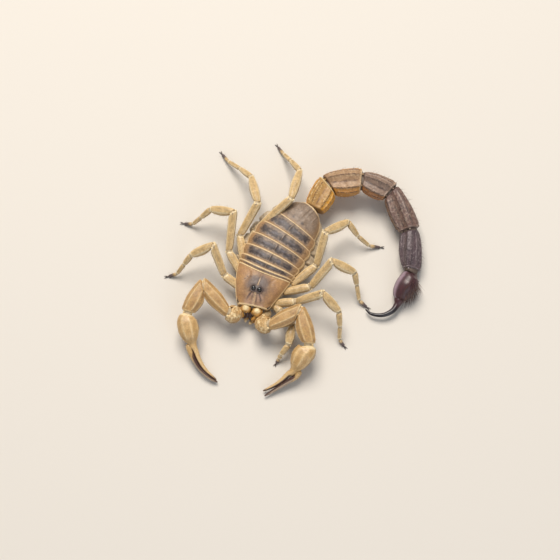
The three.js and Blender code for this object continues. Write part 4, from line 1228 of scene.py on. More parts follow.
# The trochanter swings out round the mouthparts before it meets the femur: its first two joints.
TROCHANTER_PATHS = {"left": [[5.2, -10.0, 3.3], [6.55, -12.3, 4.4]],
                    "right": [[-0.3, -11.3, 3.3], [-1.2, -13.7, 4.4]]}
ARM_KEELS = (20, 62, 118, 160, 215, 325)  # degrees round the arm, from its outer side over the top
PALM_VEINS = (30, 75, 120, 165, 230, 300)
ARM_SLEEVES = [(2, 1.3, 1.3), (3, 1.25, 1.25), (4, 1.1, 1.1)]
ARM_KNOBS = (1.45, 1.4, 1.2)  # how far out the knobs of the arm's joints 2, 3 and 4 sit
FINGER_PULL = (0.9, 1.3, 1.6, 1.5, 0.9)  # how far each joint of a movable finger may be drawn in
print("reach of the arms:", {side: reach(*ARMS[side][:2])[-1].round(1).tolist() for side in ARMS})


# %% A keeled piece of an arm
def arm_part(joints, form, first, last, size, seed, ridge=0.13, curved=False):
    """A keeled arm piece whose keels carry beads."""
    shell = tube(joints, form, first, last, size, shoulder=0.55, curved=curved)
    ends = rise(shell.walked, 0.3, 1.0) * rise(shell.left, 0.3, 1.0)
    ridges = sum(bump(apart(shell.turn, turn), 6.5) for turn in ARM_KEELS)
    lip = 0.13 * bump(shell.left - 0.35, 0.2) + 0.06 * bump(shell.walked - 0.4, 0.22)
    rough = 0.04 * mottle(shell.rings, 0.9, seed) + 0.02 * mottle(shell.rings, 0.3, seed)
    shell.push(ridge * ridges * ends + lip + rough)
    inside = np.flatnonzero(ends[:, 0] > 0.4)
    for turn in ARM_KEELS:
        shell.bead(inside, int(np.argmin(apart(shell.turn[0], turn))), 0.095)
    valley = (1 - np.clip(ridges, 0, 1)) * ends
    beneath = rise(shell.from_top, 62, 112)
    shade = np.maximum(0.4 * valley, 0.75 * beneath) + 0.3 * mottle(shell.rings, 1.1, seed + 1)
    return shell.paint(rim=np.maximum(0.75 * bump(shell.left - 0.3, 0.24), ridge * 4.6 * ridges * ends),
                       shade=shade, dark=0, grain=ends, hairy=0.8 * ends)


# %% [markdown]
# The two fingers of a claw meet along their whole length. The movable one is drawn in joint by joint
# until it lies along the fixed one. Then each finger finds the side that faces the other, which is
# where the dark biting edge and its small teeth belong.

# %% How the fingers meet
def toward(shell, line):
    """How squarely the skin faces the nearest point of a line, from -1 to 1."""
    centres = shell.rings.mean(axis=1)
    gaps = np.linalg.norm(centres[:, None] - line[None], axis=-1)
    aim = unit(line[np.argmin(gaps, axis=1)] - centres)
    return np.sum(shell.out() * aim[:, None], axis=-1)


def denticles(shell, facing, first):
    """A saw of small teeth, from this place on, along the edge that faces most towards the other finger."""
    rows = np.flatnonzero(shell.place[:, 0] > first)[:-4]
    shell.bead(rows, np.argmax(facing[rows], axis=1), 0.1)


def closed_on(joints, palm):
    """The movable finger's joints, drawn in until it lies along the fixed finger."""
    line = palm.rings.mean(axis=1)
    widths = np.linalg.norm(palm.rings - line[:, None], axis=-1).mean(axis=1)
    drawn = joints.copy()
    for number, pull in enumerate(FINGER_PULL):
        gaps = np.linalg.norm(line - joints[number], axis=-1)
        nearest = int(np.argmin(gaps))
        own_width = ease(FINGER_FORM, np.array([float(number)]))[0, 0]
        touching = 0.9 * widths[nearest] + own_width + 0.02
        way = unit(line[nearest] - joints[number])
        drawn[number] = joints[number] + way * np.clip(gaps[nearest] - touching, 0, pull)
    return drawn


# %% A claw
def claw(side, joints, seed):
    """The palm with its fixed finger, and the movable finger closed on it."""
    palm = tube(joints, PALM_FORM, 4, 10, (170, 72), curved=True, shoulder=0.7, shut=(0.4, 0.3), gap=0.2)
    finger_joints = closed_on(reach(*ARMS[side][2:]), palm)
    movable = tube(finger_joints, FINGER_FORM, 0, 4, (110, 44), curved=True, shoulder=0.6, shut=(0.3, 0.3),
                   gap=0.02)
    movable_line = movable.rings.mean(axis=1)
    fixed_line = palm.rings[palm.place[:, 0] > 6].mean(axis=1)
    on_palm = rise(palm.walked, 0.4, 1.4) * (1 - rise(palm.place, 5.4, 6.0))
    veins = sum(bump(apart(palm.turn, turn), 9) for turn in PALM_VEINS)
    palm.push(0.1 * veins * on_palm + 0.05 * mottle(palm.rings, 1.8, seed + 6) * on_palm)
    meets = toward(palm, movable_line)
    biting = rise(meets, 0.05, 0.5) * rise(palm.place, 6.1, 6.9)
    # Pale veins are painted highlights along the palm's ridges, with painted shade between them and
    # underneath.
    pale = np.maximum(0.45 * veins * on_palm, 0.35 * rise(palm.place, 5.8, 7))
    shade = np.maximum(0.45 * (1 - np.clip(veins, 0, 1)) * on_palm, 0.85 * rise(palm.from_top, 58, 108))
    palm.paint(dark=np.maximum(biting, 0.7 * rise(palm.place, 9.3, 9.9)),
               rim=np.maximum(bump(palm.walked - 0.35, 0.35), pale),
               shade=shade + 0.2 * mottle(palm.rings, 1.4, seed + 7),
               hairy=0.35 * rise(palm.place, 4.2, 4.5) + 0.4 * rise(palm.place, 6, 6.5))
    closes = toward(movable, fixed_line)
    movable.push(0.05 * bump(closes - 1, 0.3) + 0.02 * mottle(movable.rings, 0.8, seed + 8))
    movable.paint(rim=1 - rise(movable.place + 0.5 * closes, 0.7, 1.5), hairy=0.5,
                  pale=rise(-closes, -0.2, 0.3) * (1 - 0.7 * rise(movable.place, 3.3, 3.9)))
    denticles(palm, meets, 6.4)
    denticles(movable, closes, 0.6)
    return palm, movable


# %% The arms
def arm(side, seed):
    joints = reach(*ARMS[side][:2])
    lump = joints.copy()
    lump[:2] = TROCHANTER_PATHS[side]
    trochanter = arm_part(lump, TROCHANTER_FORM, 0, 2, (70, 64), seed, ridge=0.05, curved=True)
    speckled = 0.34 + 0.8 * mottle(trochanter.rings, 0.36, seed + 9)
    trochanter.paint(rim=np.maximum(0.6 * trochanter.masks["rim"], speckled), grain=1.0)
    femur = arm_part(joints, ARM_FEMUR_FORM, 2, 3, (84, 72), seed + 2)
    patella = arm_part(joints, ARM_PATELLA_FORM, 3, 4, (84, 72), seed + 4)
    palm, movable = claw(side, joints, seed)
    coarse, fine = (0.34, 0.06, 0.12), (0.42, 0.035, 0.075)
    rows = (("trochanter", trochanter, coarse), ("femur", femur, fine), ("patella", patella, fine))
    for number, (part, shell, grain) in enumerate(rows):
        wide = ARM_KNOBS[number]
        lumps = knobs(joints, number + 2, wide, wide, 0.34, ((-0.78, 0.45), (0.78, 0.45)))
        solid = f"pedipalp_{side}_{part}"
        piece(f"{solid}_shell", [shell, *lumps], arm_finish, [solid], grain=grain,
              beads=(0.26, 0.75), seed=seed)
    for part, shell, finish, slot in (("palm", palm, palm_finish, "palm_shell"),
                                      ("movable_finger", movable, finger_finish, "dark_finger")):
        solid = f"pedipalp_{side}_{part}"
        piece(f"{solid}_shell", [shell], finish, [solid], beads=(0.27, 1.1), seed=seed)
    sleeves = sleeves_of(joints, ARM_SLEEVES, reach_mm=0.8)
    piece(f"pedipalp_{side}_joint_skin", sleeves, skin_finish)
    grounds["arm"] += [trochanter, femur, patella, palm, movable]


arm("left", 300)
arm("right", 320)
print("arms:", made[-12:])

# %% [markdown]
# ## The mouthparts
#
# Two amber chelicerae, small pincers that tear the food, show under the front of the carapace. Each has
# a swollen hand and two dark-tipped toothed fingers. Below them the hips of the arms send two lobes
# forward, a trough that leads food to the mouth.

# %% Chelicerae
CHELICERAE = {
    "left": ([3.8, -9.2, 4.6], [3.5, -11.6, 4.4], [2.75, -13.1, 3.7]),
    "right": ([0.6, -9.9, 4.6], [0.75, -12.1, 4.4], [1.7, -13.4, 3.7]),
}
CHELICERA_FORM = [[0, 1.15, 0.9], [0.45, 1.4, 1.1], [0.9, 1.32, 1.0], [1.25, 0.95, 0.8], [2, 0.3, 0.3]]
MOUTH_FINGER_FORM = [[0, 0.55, 0.55], [1, 0.5, 0.5], [2, 0.14, 0.14]]
for number, (side, path) in enumerate(CHELICERAE.items()):
    joints = np.array(path)
    hand = tube(joints, CHELICERA_FORM, 0, 1.2, (52, 52), curved=True, shoulder=0.5, shut=(0.3, 0.5))
    groove = 0.1 * bump(apart(hand.turn, 60), 14) * rise(hand.walked, 0.8, 1.6)
    hand.push(0.12 * mottle(hand.rings, 0.9, 400 + number) - groove)
    front = rise(hand.place, 0.9, 1.2)
    # The cream on top of the hand is partly its own colour and partly a painted highlight.
    hand.paint(dark=0.7 * front * bump(hand.from_top, 50), hairy=front, grain=0.6 * (1 - front),
               rim=1.1 * bump(hand.walked - 1.1, 0.75) * bump(hand.from_top, 38))
    across = unit(np.cross(UP, joints[2] - joints[1]))
    fingers = []
    inner = -1 if side == "left" else 1
    for sign, drop, dark_from in ((inner, 0.15, 0.0), (-inner, -0.2, 1.15)):
        knuckle = joints[1] + across * sign * 0.6 + UP * drop
        middle = joints[1] * 0.45 + joints[2] * 0.55 + across * sign * 0.66 + UP * drop
        chain = [knuckle, middle, joints[2] + across * sign * 0.12 + UP * drop]
        finger = tube(chain, MOUTH_FINGER_FORM, 0, 2, (32, 20), curved=True, gap=0.01, shut=(0.2, 0.2),
                      shoulder=0.15)
        finger.paint(dark=rise(finger.place, dark_from, dark_from + 0.5))
        edge = int(np.argmin(apart(finger.turn[0], 180 if sign > 0 else 0)))
        finger.bead(np.arange(12, 30), edge, 0.13)
        fingers.append(finger)
    piece(f"chelicera_{side}_hand", [hand, *fingers], amber_finish, [f"chelicera_{side}"],
          grain=(0.3, 0.025, 0.05), beads=(0.34, 1.0), seed=410 + number)
    grounds["mouth"].append(hand)
print("mouthparts:", made[-2:])

# %% Mouth lobes
LOBE_MIDDLE = 2.6
LOBE_PATH = [[1.1, -9.9, 2.8], [0.95, -12.4, 2.5], [0.6, -14.0, 2.3]]  # x is from the mouth's middle
LOBE_FORM = [[0, 0.85, 0.8], [1, 0.75, 0.7], [2, 0.2, 0.22]]
lobes = []
for sign in (-1, 1):
    path = [[LOBE_MIDDLE + sign * x, y, z] for x, y, z in LOBE_PATH]
    lobe = tube(path, LOBE_FORM, 0, 2, (30, 28), curved=True, gap=0.02)
    lobes.append(lobe.paint(rim=0.6 * rise(lobe.place, 1.2, 1.8)))
piece("mouth_lobes", lobes, amber_finish, seed=415)
print("mouth lobes:", made[-1])

# %% [markdown]
# ## The underside
#
# The hips of the legs meet under the chest round a small breastplate. Behind them are the lid of the
# genital opening and the two combs, the scorpion's own sense organ for the ground, each a plate with a
# row of teeth. Five belly plates follow, four of them with a slit for breathing on each side.

# %% Hips and breastplate
HIP_FORM = [[0, 0.7, 0.8], [0.3, 1.05, 1.0], [0.75, 1.2, 1.1], [1, 0.95, 0.95]]
BREASTPLATE = ([0.4, -0.2, 1.95], [1.15, 1.3, 0.4])  # middle and radii of a lump
SIDE_LUMPS = [  # place and radii, for each side of the body
    ([0.85, 1.5, 1.75], [0.85, 0.7, 0.35]),  # halves of the genital lid
    ([1.25, 1.9, 1.25], [0.8, 0.55, 0.5]),  # roots of the combs
]


def hip(inner, outer):
    """A hip from the middle of the chest out to the root of a limb."""
    shell = tube([inner, outer], HIP_FORM, 0, 1, (30, 36), shoulder=0.6)
    return shell.paint(rim=bump(shell.left - 0.3, 0.3), grain=0.5)


hips = []
for number, name in enumerate(LEGS):
    sign = 1 if name.startswith("left") else -1
    shell = hip([sign * 0.9, -7.6 + 2.1 * int(name[-1]), 2.35], leg_joints(name)[0])
    hips.append(shell.push(0.06 * mottle(shell.rings, 1.1, 500 + number)))
for side, sign in (("left", 1), ("right", -1)):
    hips.append(hip([1.9 + sign * 0.9, -6.4, 2.7], ARMS[side][0]))
for spot in ([6.1, -9.4, 3.35], [-1.1, -10.5, 3.3]):  # where the arms' hips show beside the carapace
    hips.append(ball(spot, [1.15, 1.25, 0.95], 18, 30).paint(grain=0.7, dark=0.25))
lumps = [ball(*BREASTPLATE, 16, 30)]
for (out_by, y, z), radii in SIDE_LUMPS:
    lumps += [ball([sign * out_by + 0.1, y, z], radii, 16, 30) for sign in (-1, 1)]
piece("hips_and_breastplate", [*hips, *lumps], underside_finish, ["coxae_sternum"],
      grain=(0.6, 0.03, 0.06), seed=520)
print("hips:", made[-1])

# %% Belly plates
BELLY_EDGES = [4.2, 7.6, 11.2, 14.8, 18.2, 21.6]
for number, (front, rear) in enumerate(zip(BELLY_EDGES, BELLY_EDGES[1:]), start=3):
    place = np.linspace(front - 0.3, rear, 44)
    angle = np.linspace(-0.66 * math.pi, -1.34 * math.pi, 85)
    at, _, across = midline(place)
    flank = FLANK * rise(place, 0, 4.5) * (1 - 0.6 * rise(place, 18, REAR))
    half = (ease(TRUNK_WIDTH, place) + flank - 0.1)[:, None]
    side, up = np.sin(angle)[None, :], -np.abs(np.cos(angle)) ** 0.6
    depth = (ease(TRUNK_DEPTH, place) - 0.12)[:, None]
    share = ((place - front) / (rear - front))[:, None]
    to_rear = (rear - place)[:, None]
    grid = at[:, None] + across[:, None] * (half * side)[..., None] + UP * (depth * up - 0.28)[..., None]
    from_middle = np.abs(half * side)
    slits = bump(np.hypot((share - 0.55) * (rear - front), (from_middle - 0.5 * half) * 0.45), 0.28)
    slits = slits * (number < 7)
    keels = 0.1 * bump(from_middle - 1.3, 0.18) * rise(share, 0.35, 0.5) * (number > 5)
    bead = 0.07 * bump(to_rear - 0.2, 0.18)
    grid = raised(grid, bead - 0.12 * slits + keels + 0.12 * share + 0.03 * mottle(grid, 1.4, 530 + number))
    sternite = plate(grid, 0.25, rim=bump(to_rear - 0.1, 0.3), dark=0.9 * slits)
    piece(f"belly_plate_{number}", [sternite], underside_finish, seed=540 + number)
print("belly plates:", made[-5:])

# %% Combs
COMB = {"root": [1.2, 1.6], "length": 7.5, "thick": 0.55, "height": 0.55, "sweep": 52, "teeth": 30}
COMB_FORM = [[0, 0.6, 0.26], [1, 0.5, 0.24], [2, 0.22, 0.16]]
TOOTH_FORM = [[0, 0.07, 0.16], [1, 0.1, 0.2], [2, 0.05, 0.1]]
for side, sign in (("left", 1), ("right", -1)):
    heading = math.radians(90 - COMB["sweep"])
    spine_way = np.array([sign * math.cos(heading), math.sin(heading), 0])
    tooth_way = np.array([-sign * math.sin(heading), math.cos(heading), 0])
    out_by, behind = COMB["root"]
    root = midline(behind)[0] * [1, 1, 0] + [sign * out_by, 0, COMB["height"] + COMB["thick"] / 2]
    spine_full = spine_way * COMB["length"]
    chain = [root - tooth_way * 0.45, root + spine_full * 0.5 - tooth_way * 0.5,
             root + spine_full - tooth_way * 0.2]
    spine = tube(chain, COMB_FORM, 0, 2, (60, 28), curved=True, gap=0.01)
    spine.push(0.05 * np.cos(spine.walked * 4.2) * bump(spine.from_top, 60))
    parts = [spine.paint(rim=0.4)]
    for step in range(COMB["teeth"]):
        start = root + spine_full * (step + 0.5) / COMB["teeth"] - tooth_way * 0.1
        tip = start + tooth_way * (0.95 - 0.3 * step / COMB["teeth"])
        tooth = tube([start, start + tooth_way * 0.6, tip], TOOTH_FORM, 0, 2, (9, 10), curved=True,
                     gap=0.01, shoulder=0.08)
        parts.append(tooth.paint(rim=0.8))
    piece(f"pectine_{side}_comb", parts, underside_finish, [f"pectine_{side}"], seed=560)
print("combs:", made[-2:])

# %% [markdown]
# ## The tail
#
# Five rings, the last long, then a bulb with the sting. Each ring has a furrow along its back between
# two strong keels and more keels down its sides, all set with beads. The colour runs from gold through
# grey-brown to dark purple-brown, and each far rim is pale where the joint rubs.

# %% Tail sizes
TAIL_ROOT = [2.7, 22, 5.6]
TAIL = [  # plan length, heading, height and roll
    [7.9, 92, 6.5, 6], [9.3, 37, 6.8, 14], [8.4, 9, 6.2, 26], [11.6, -35, 4.5, 42], [11, -58, 2.9, 64],
    [2.6, -93, 2.75, 72], [2.1, -80, 2.65, 76], [2.1, -84, 2.5, 80], [2.1, -83, 2.35, 82],
    [1.4, -89, 2.2, 82], [2.2, -95, 2.1, 82], [2.6, -122, 1.9, 82], [2.9, -158, 1.6, 82],
    [2.1, 169, 1.3, 82]]
RING_FORM = [[0, 0.74, 0.78], [0.1, 0.86, 0.88], [0.3, 0.98, 0.98], [0.55, 1.04, 1.02], [0.8, 0.99, 0.97],
             [0.93, 0.9, 0.9], [1, 0.8, 0.82]]
LAST_RING_FORM = [[0, 0.7, 0.76], [0.1, 0.84, 0.88], [0.3, 1.0, 1.0], [0.5, 1.08, 1.04], [0.75, 1.0, 0.98],
                  [0.92, 0.8, 0.84], [1, 0.66, 0.72]]
RING_SIZES = [[3.3, 2.7], [3.6, 3.1], [3.1, 2.9], [3.1, 2.7], [2.7, 2.55]]
TAIL_HALF = [[1, 0.08], [0.86, 0.66], [0.5, 1], [0, 0.84], [-0.5, 1], [-0.86, 0.66], [-1, 0.08],
             [-0.88, -0.56], [-0.45, -0.98], [0, -1], [0.45, -0.98], [0.88, -0.56]]
KEEL_CORNERS = (0, 1, 2, 4, 5, 6, 7, 8, 10, 11)
BACK_KEELS = (2, 4)  # the two strong ones beside the furrow
TAIL_SIDES = 132
tail_joints = reach(TAIL_ROOT, [step[:3] for step in TAIL])
tail_rolls = [0, *[step[3] for step in TAIL]]


def keeled_outline(sides):
    """The tail's outline walked at an even pace, its corners softened, and the column of each keel."""
    corners = np.array([*TAIL_HALF, TAIL_HALF[0]], float)
    walk = np.concatenate([[0], np.cumsum(np.linalg.norm(np.diff(corners, axis=0), axis=1))])
    even = np.linspace(0, walk[-1], sides, endpoint=False)
    outline = np.stack([np.interp(even, walk, corners[:, axis]) for axis in (0, 1)], -1)
    for _ in range(4):
        outline = (np.roll(outline, 1, axis=0) + 2 * outline + np.roll(outline, -1, axis=0)) / 4
    return outline, [int(round(walk[k] / walk[-1] * sides)) % sides for k in KEEL_CORNERS]


tail_outline, keel_columns = keeled_outline(TAIL_SIDES)
columns = np.arange(TAIL_SIDES)
from_keel = np.min([np.minimum((columns - k) % TAIL_SIDES, (k - columns) % TAIL_SIDES)
                    for k in keel_columns], axis=0)[None, :]
print("columns of the keels:", keel_columns)

# %% [markdown]
# The tail darkens ring by ring, so each ring has its own finish and its own strength of each mark. Two
# tables hold them. The first has a ring's colours: body, patches, flank, pale parts and dark ones.

# %% Tail colours
# Tail cuticle: thick and tanned, its colour deepening ring by ring; the furrow is the darkest line.
TAIL_COLOURS = [
    ("gold", "#b58c50", "#a67c42", "#da9826", "#ead29c", "#6b4a2c"),
    ("tan", "#ab8a68", "#987654", "#c9861f", "#dfc49c", "#4c3328"),
    ("brown", "#8f7665", "#7a6457", "#ab6b28", "#c9b096", "#372b28"),
    ("mauve", "#775b50", "#614943", "#7d5d46", "#c6b19c", "#382c2b"),
    ("dark", "#5c4b4e", "#493b40", "#4a3536", "#b9a9a8", "#251c21"),
]
RING_MARKS = {  # how strong each mark is on each ring
    "keel": (0.75, 0.6, 0.5, 0.45, 0.35), "saddle": (0.0, 0.0, 0.15, 0.5, 0.55),
    "beside": (0, 0, 1, 1, 1), "specks": (0.1, 0.2, 0.45, 0.5, 0.5), "flank": (1, 0.8, 0.3, 0.15, 0.2),
    "painted_glints": (0.3, 0.38, 0.45, 0.55, 0.55), "dashes": (0.8, 0.75, 0.6, 0.4, 0.2),
    "rim": (0.8, 0.6, 0.35, 0.3, 0.3), "knobs": (0.3, 0.4, 0.5, 0.9, 0.9)}


def tail_finish(label, body, patches, flank, pale, dark):
    masks = [("side", flank, 0.85), ("saddle", pale, 0.4), ("dark", dark, 0.85), ("keel", pale, 0.55),
             ("rim", pale, 0.8)]
    return cuticle(f"keeled_tail_chitin_{label}", body, patches, patch_size=1.5, relief=0.4,
                   rough=(0.36, 0.52), masks=masks)


print("marks of a ring:", list(RING_MARKS))


# %% Marks of a ring
def paint_ring(ring, index, seed, ends, pits):
    """Paints one ring: furrow, specks, keel dashes and painted shade dark, keels, painted glints and rim
    pale, flank coloured.
    """
    strength = {key: values[index] for key, values in RING_MARKS.items()}
    furrow = bump(ring.from_top, 6) * ends * (0.65 + 0.55 * mottle(ring.rings, 0.8, seed + 2))
    beside = bump(ring.from_top - 30, 11) * ends * (0.2 + 0.7 * mottle(ring.rings, 0.34, seed + 4))
    beside = beside * strength["beside"]
    specks = strength["specks"] * (pits > 0.4) * ends
    inside_curl = np.cos(np.radians(ring.turn)) < 0
    inner_side = 20 * inside_curl  # more of the flank shows inside the tail's curl
    below = rise(ring.from_top + inner_side, 46, 58) * np.where(inside_curl, 1, strength["flank"])
    # Painted glints: scattered pale flecks that stand in for light caught on the grains.
    painted_glints = (mottle(ring.rings, 0.24, seed + 5) > 0.4) * strength["painted_glints"] * ends
    broken = (mottle(ring.rings, 0.3, seed + 6) > -0.05) * (ring.from_top < 70)
    dashes = bump(from_keel, 0.95) * ends * broken * strength["dashes"]
    # Painted shade at both ends of the ring and under its upper corner, joined with the dark dashes of the
    # keels.
    near_ends = 0.7 * bump(ring.left - 0.02, 0.2) + 0.75 * bump(ring.walked - 0.1, 0.35)
    dashes_and_painted_shade = dashes + near_ends + 0.35 * bump(ring.from_top - 52, 7) * ends
    flecks = 0.15 + 1.25 * (mottle(ring.rings, 0.28, seed + 3) > 0.1)
    keels = bump(from_keel - 2.4, 1.1) * ends * strength["keel"] * flecks
    worn = strength["rim"] + 0.5 * (mottle(ring.rings, 0.4, seed + 7) > 0.3)
    ring.paint(side=below * (0.85 + 0.3 * pits), keel=np.maximum(keels, painted_glints),
               dark=np.maximum(np.maximum(furrow, beside), np.maximum(specks, dashes_and_painted_shade)),
               saddle=strength["saddle"] * bump(ring.from_top, 20) * ends, grain=0.9 * ends,
               rim=bump(ring.left - 0.4, 0.2) * worn, hairy=0.1 + 0.9 * rise(ring.from_top, 75, 120) * ends)
    return strength["knobs"]


# %% Tail rings
def tail_ring(index, seed):
    colours = TAIL_COLOURS[index]
    wide, deep = RING_SIZES[index]
    stops = LAST_RING_FORM if index == 4 else RING_FORM
    form = [[index + share, wide * across, deep * high] for share, across, high in stops]
    ring = tube(tail_joints, form, index, index + 1, (112, TAIL_SIDES), outline=tail_outline,
                rolls=tail_rolls, shoulder=0.45, shut=(0.22, 0.16), gap=0.1)
    ends = rise(ring.walked, 0.5, 1.5) * rise(ring.left, 0.5, 1.3)
    ridge = bump(from_keel, 1.7) * ends
    lip = 0.16 * bump(ring.left - 0.4, 0.24) + 0.08 * bump(ring.walked - 0.6, 0.3)
    pits = mottle(ring.rings, 0.5, seed)
    pitted = 0.05 * pits * (1 - ridge) * ends
    ring.push(0.17 * ridge + lip + pitted + 0.05 * mottle(ring.rings, 1.3, seed + 1))
    ring.rest_on_floor()
    inside = np.flatnonzero(ends[:, 0] > 0.3)
    for corner, column in zip(KEEL_CORNERS, keel_columns):
        ring.bead(inside, column, 0.15 if corner in BACK_KEELS else 0.11)
    row = int(np.argmin(np.abs(ring.left[:, 0] - 0.5)))
    ring.bead(row, columns, 0.14)
    knob_rim = paint_ring(ring, index, seed, ends, pits)
    condyles = knobs(tail_joints, index + 1, wide * 0.74, deep * 0.74, 0.24, ((-0.58, 0.88), (0.58, 0.88)),
                     tail_rolls, knob_rim)
    piece(f"tail_{index + 1}_ring", [ring, *condyles], tail_finish(*colours),
          [f"tail_{index + 1}"], grain=(0.42, 0.04, 0.1), beads=(0.36, 0.8), seed=seed)
    grounds["tail"].append(ring)


for index in range(5):
    tail_ring(index, 600 + 10 * index)
print("tail rings:", made[-5:])

# %% Skin between the rings
SLEEVE_SHARE = 0.66  # of a ring's own size
SLEEVE_DARK = (0.5, 0.8, 0.9, 1.0, 1.0)
sleeves = []
for joint, ((wide, deep), dark) in enumerate(zip(RING_SIZES, SLEEVE_DARK), start=1):
    across, high = wide * SLEEVE_SHARE, deep * SLEEVE_SHARE
    sleeves.append(joint_skin(tail_joints, joint, across, high, 1.0, tail_rolls, dark))
piece("tail_joint_skin", sleeves, skin_finish)
print("tail skin:", made[-1])

# %% [markdown]
# ## The sting
#
# The bulb is smooth on top and set with rows of grains and bristles below. Its cuticle is the thickest
# and glossiest of all, maroon, with a lilac highlight painted on its smooth back. The sting is a slim
# curved thorn, nearly black.
# Both are tubes on one line, so that the thorn grows out of the bulb without a step.

# %% Bulb and sting
BULB_FORM = [[5, 0.8, 0.9], [5.3, 1.7, 1.6], [5.7, 2.8, 2.4], [6.1, 3.3, 2.75], [7, 3.45, 2.95],
             [8, 2.7, 2.6], [8.6, 1.85, 2.1], [9, 1.3, 1.45]]
STING_FORM = [[9, 1.3, 1.45], [9.5, 1.1, 1.15], [10, 0.85, 0.9], [11, 0.7, 0.72], [12, 0.56, 0.58],
              [13, 0.42, 0.44], [14, 0.16, 0.18]]
BULB_SHIFT = {6: (0.7, 0.1), 7: (0.5, 0.1), 8: (0.3, 0), 9: (0.3, 0), 10: (0.4, 0), 11: (0.3, 0)}  # x and y
# Bulb: thick polished maroon cuticle, with a painted lilac highlight on its smooth back.
bulb_finish = cuticle(
    "polished_maroon_bulb_chitin", "#4b2a2d", "#3c2225", patch_size=1.2, relief=0.18, rough=(0.32, 0.44),
    coat=0.12, masks=[("bloom", "#a18a98", 0.85), ("dark", "#2a1e22", 0.9)])
# Sting: the hardest, most polished cuticle, blue-black, with a painted lilac highlight along its thicker
# part.
sting_finish = cuticle(
    "blue_black_sting_chitin", "#1b151c", "#161218", relief=0.04, rough=(0.28, 0.36), coat=0.05,
    masks=[("bloom", "#5a4450", 0.7), ("root", "#4a2b30", 0.85)])
bulb_line = tail_joints.copy()
for joint, shift in BULB_SHIFT.items():
    bulb_line[joint, :2] += shift
bulb = tube(bulb_line, BULB_FORM, 5, 9, (96, 84), outline=oval(84, 2), rolls=tail_rolls, curved=True,
            shoulder=0.8, shut=(0.35, 0.1), gap=0.15)
bulb.push(0.06 * mottle(bulb.rings, 1.6, 700) + 0.1 * bump(bulb.walked - 0.6, 0.3))
bulb.rest_on_floor()
# Painted highlight: a lilac band along the upper side of the bulb, standing in for the reflected sky.
bulb.paint(bloom=bump(apart(bulb.turn, 66), 19) * rise(bulb.walked, 1, 2.4),
           dark=0.9 * bump(bulb.walked, 0.7),
           grain=0.8 * rise(bulb.from_top, 60, 100) * rise(bulb.walked, 0.8, 1.6),
           hairy=rise(apart(bulb.turn, 292), 88, 60) * rise(bulb.walked, 1.6, 3.2))
piece("telson_bulb", [bulb], bulb_finish, ["telson_vesicle"],
      grain=(0.7, 0.05, 0.1), seed=702)
grounds["bulb"].append(bulb)
thorn = tube(bulb_line, STING_FORM, 9, 14, (110, 40), outline=oval(40, 2), rolls=tail_rolls, curved=True,
             shoulder=0.2, shut=(0.1, 0.2), gap=0.0)
# Painted highlight: a lilac band along the thorn's thicker part. The maroon root is the thorn's own colour.
thorn.paint(bloom=bump(apart(thorn.turn, 70), 24) * (1 - rise(thorn.place, 11.5, 13.5)),
            root=1 - rise(thorn.place, 9.5, 11.2))
piece("telson_thorn", [thorn], sting_finish, ["telson_sting"], seed=703)
print("sting:", made[-2:])

# %% [markdown]
# ## Bristles
#
# Fine bristles feel the air and the ground. They are sparse on the arms, denser under the legs and the
# tail, and long on the bulb. A hair system would do for a film, but a part for reuse needs plain mesh,
# so a second tree scatters thin bent cones over a copy of the shells. First it finds where a bristle
# stands and which way it leans: towards the limb's tip, each a little astray.

# %% The bristled tree: places and directions
MOST_BRISTLES = 8.0e6  # a square metre
STRAY = 0.3
bristled = new_tree("bristled_shell", [
    ("Spacing", "Float", 1.0 * MM), ("Length", "Float", 1.0 * MM), ("Radius", "Float", 0.02 * MM),
    ("Lean", "Float", 0.5), ("Patch", "Float", 0.003), ("Seed", "Int", 1), ("Finish", "Material", None)])
given = add(bristled, "NodeGroupInput").outputs
where = add(bristled, "GeometryNodeInputNamedAttribute", {"Name": "hairy"}, data_type="FLOAT")
lie, root_place, own_patch = [
    add(bristled, "GeometryNodeInputNamedAttribute", {"Name": name}, data_type="FLOAT_VECTOR")
    for name in ("lie", "chart", "patch")]
roots = add(bristled, "GeometryNodeDistributePointsOnFaces",
            {"Mesh": given["Geometry"], "Distance Min": given["Spacing"], "Density Max": MOST_BRISTLES,
             "Density Factor": where, "Seed": given["Seed"]}, distribute_method="POISSON").outputs
leaning = add(bristled, "ShaderNodeVectorMath", {0: lie, "Scale": given["Lean"]}, operation="SCALE")
stray = add(bristled, "FunctionNodeRandomValue",
            {0: (-STRAY, -STRAY, -STRAY), 1: (STRAY, STRAY, STRAY), "Seed": given["Seed"]},
            data_type="FLOAT_VECTOR")
swayed = add(bristled, "ShaderNodeVectorMath", {0: leaning, 1: stray}, operation="ADD")
upright = add(bristled, "ShaderNodeVectorMath", {0: swayed, 1: roots["Normal"]}, operation="ADD")
aimed = add(bristled, "FunctionNodeAlignRotationToVector", {"Vector": upright}, axis="Z")
turned = add(bristled, "FunctionNodeAlignRotationToVector", {"Rotation": aimed, "Vector": lie}, axis="X",
             pivot_axis="Z")
print("nodes so far:", len(bristled.nodes))

# %% [markdown]
# One bristle is a thin cone that bends more the further it is from its root. Its own little chart is
# kept as "patch". Once the bristles are real mesh, each one's patch is shrunk and laid on the chart at
# its root, in the layer OFBake, so a baked colour reads the right place.

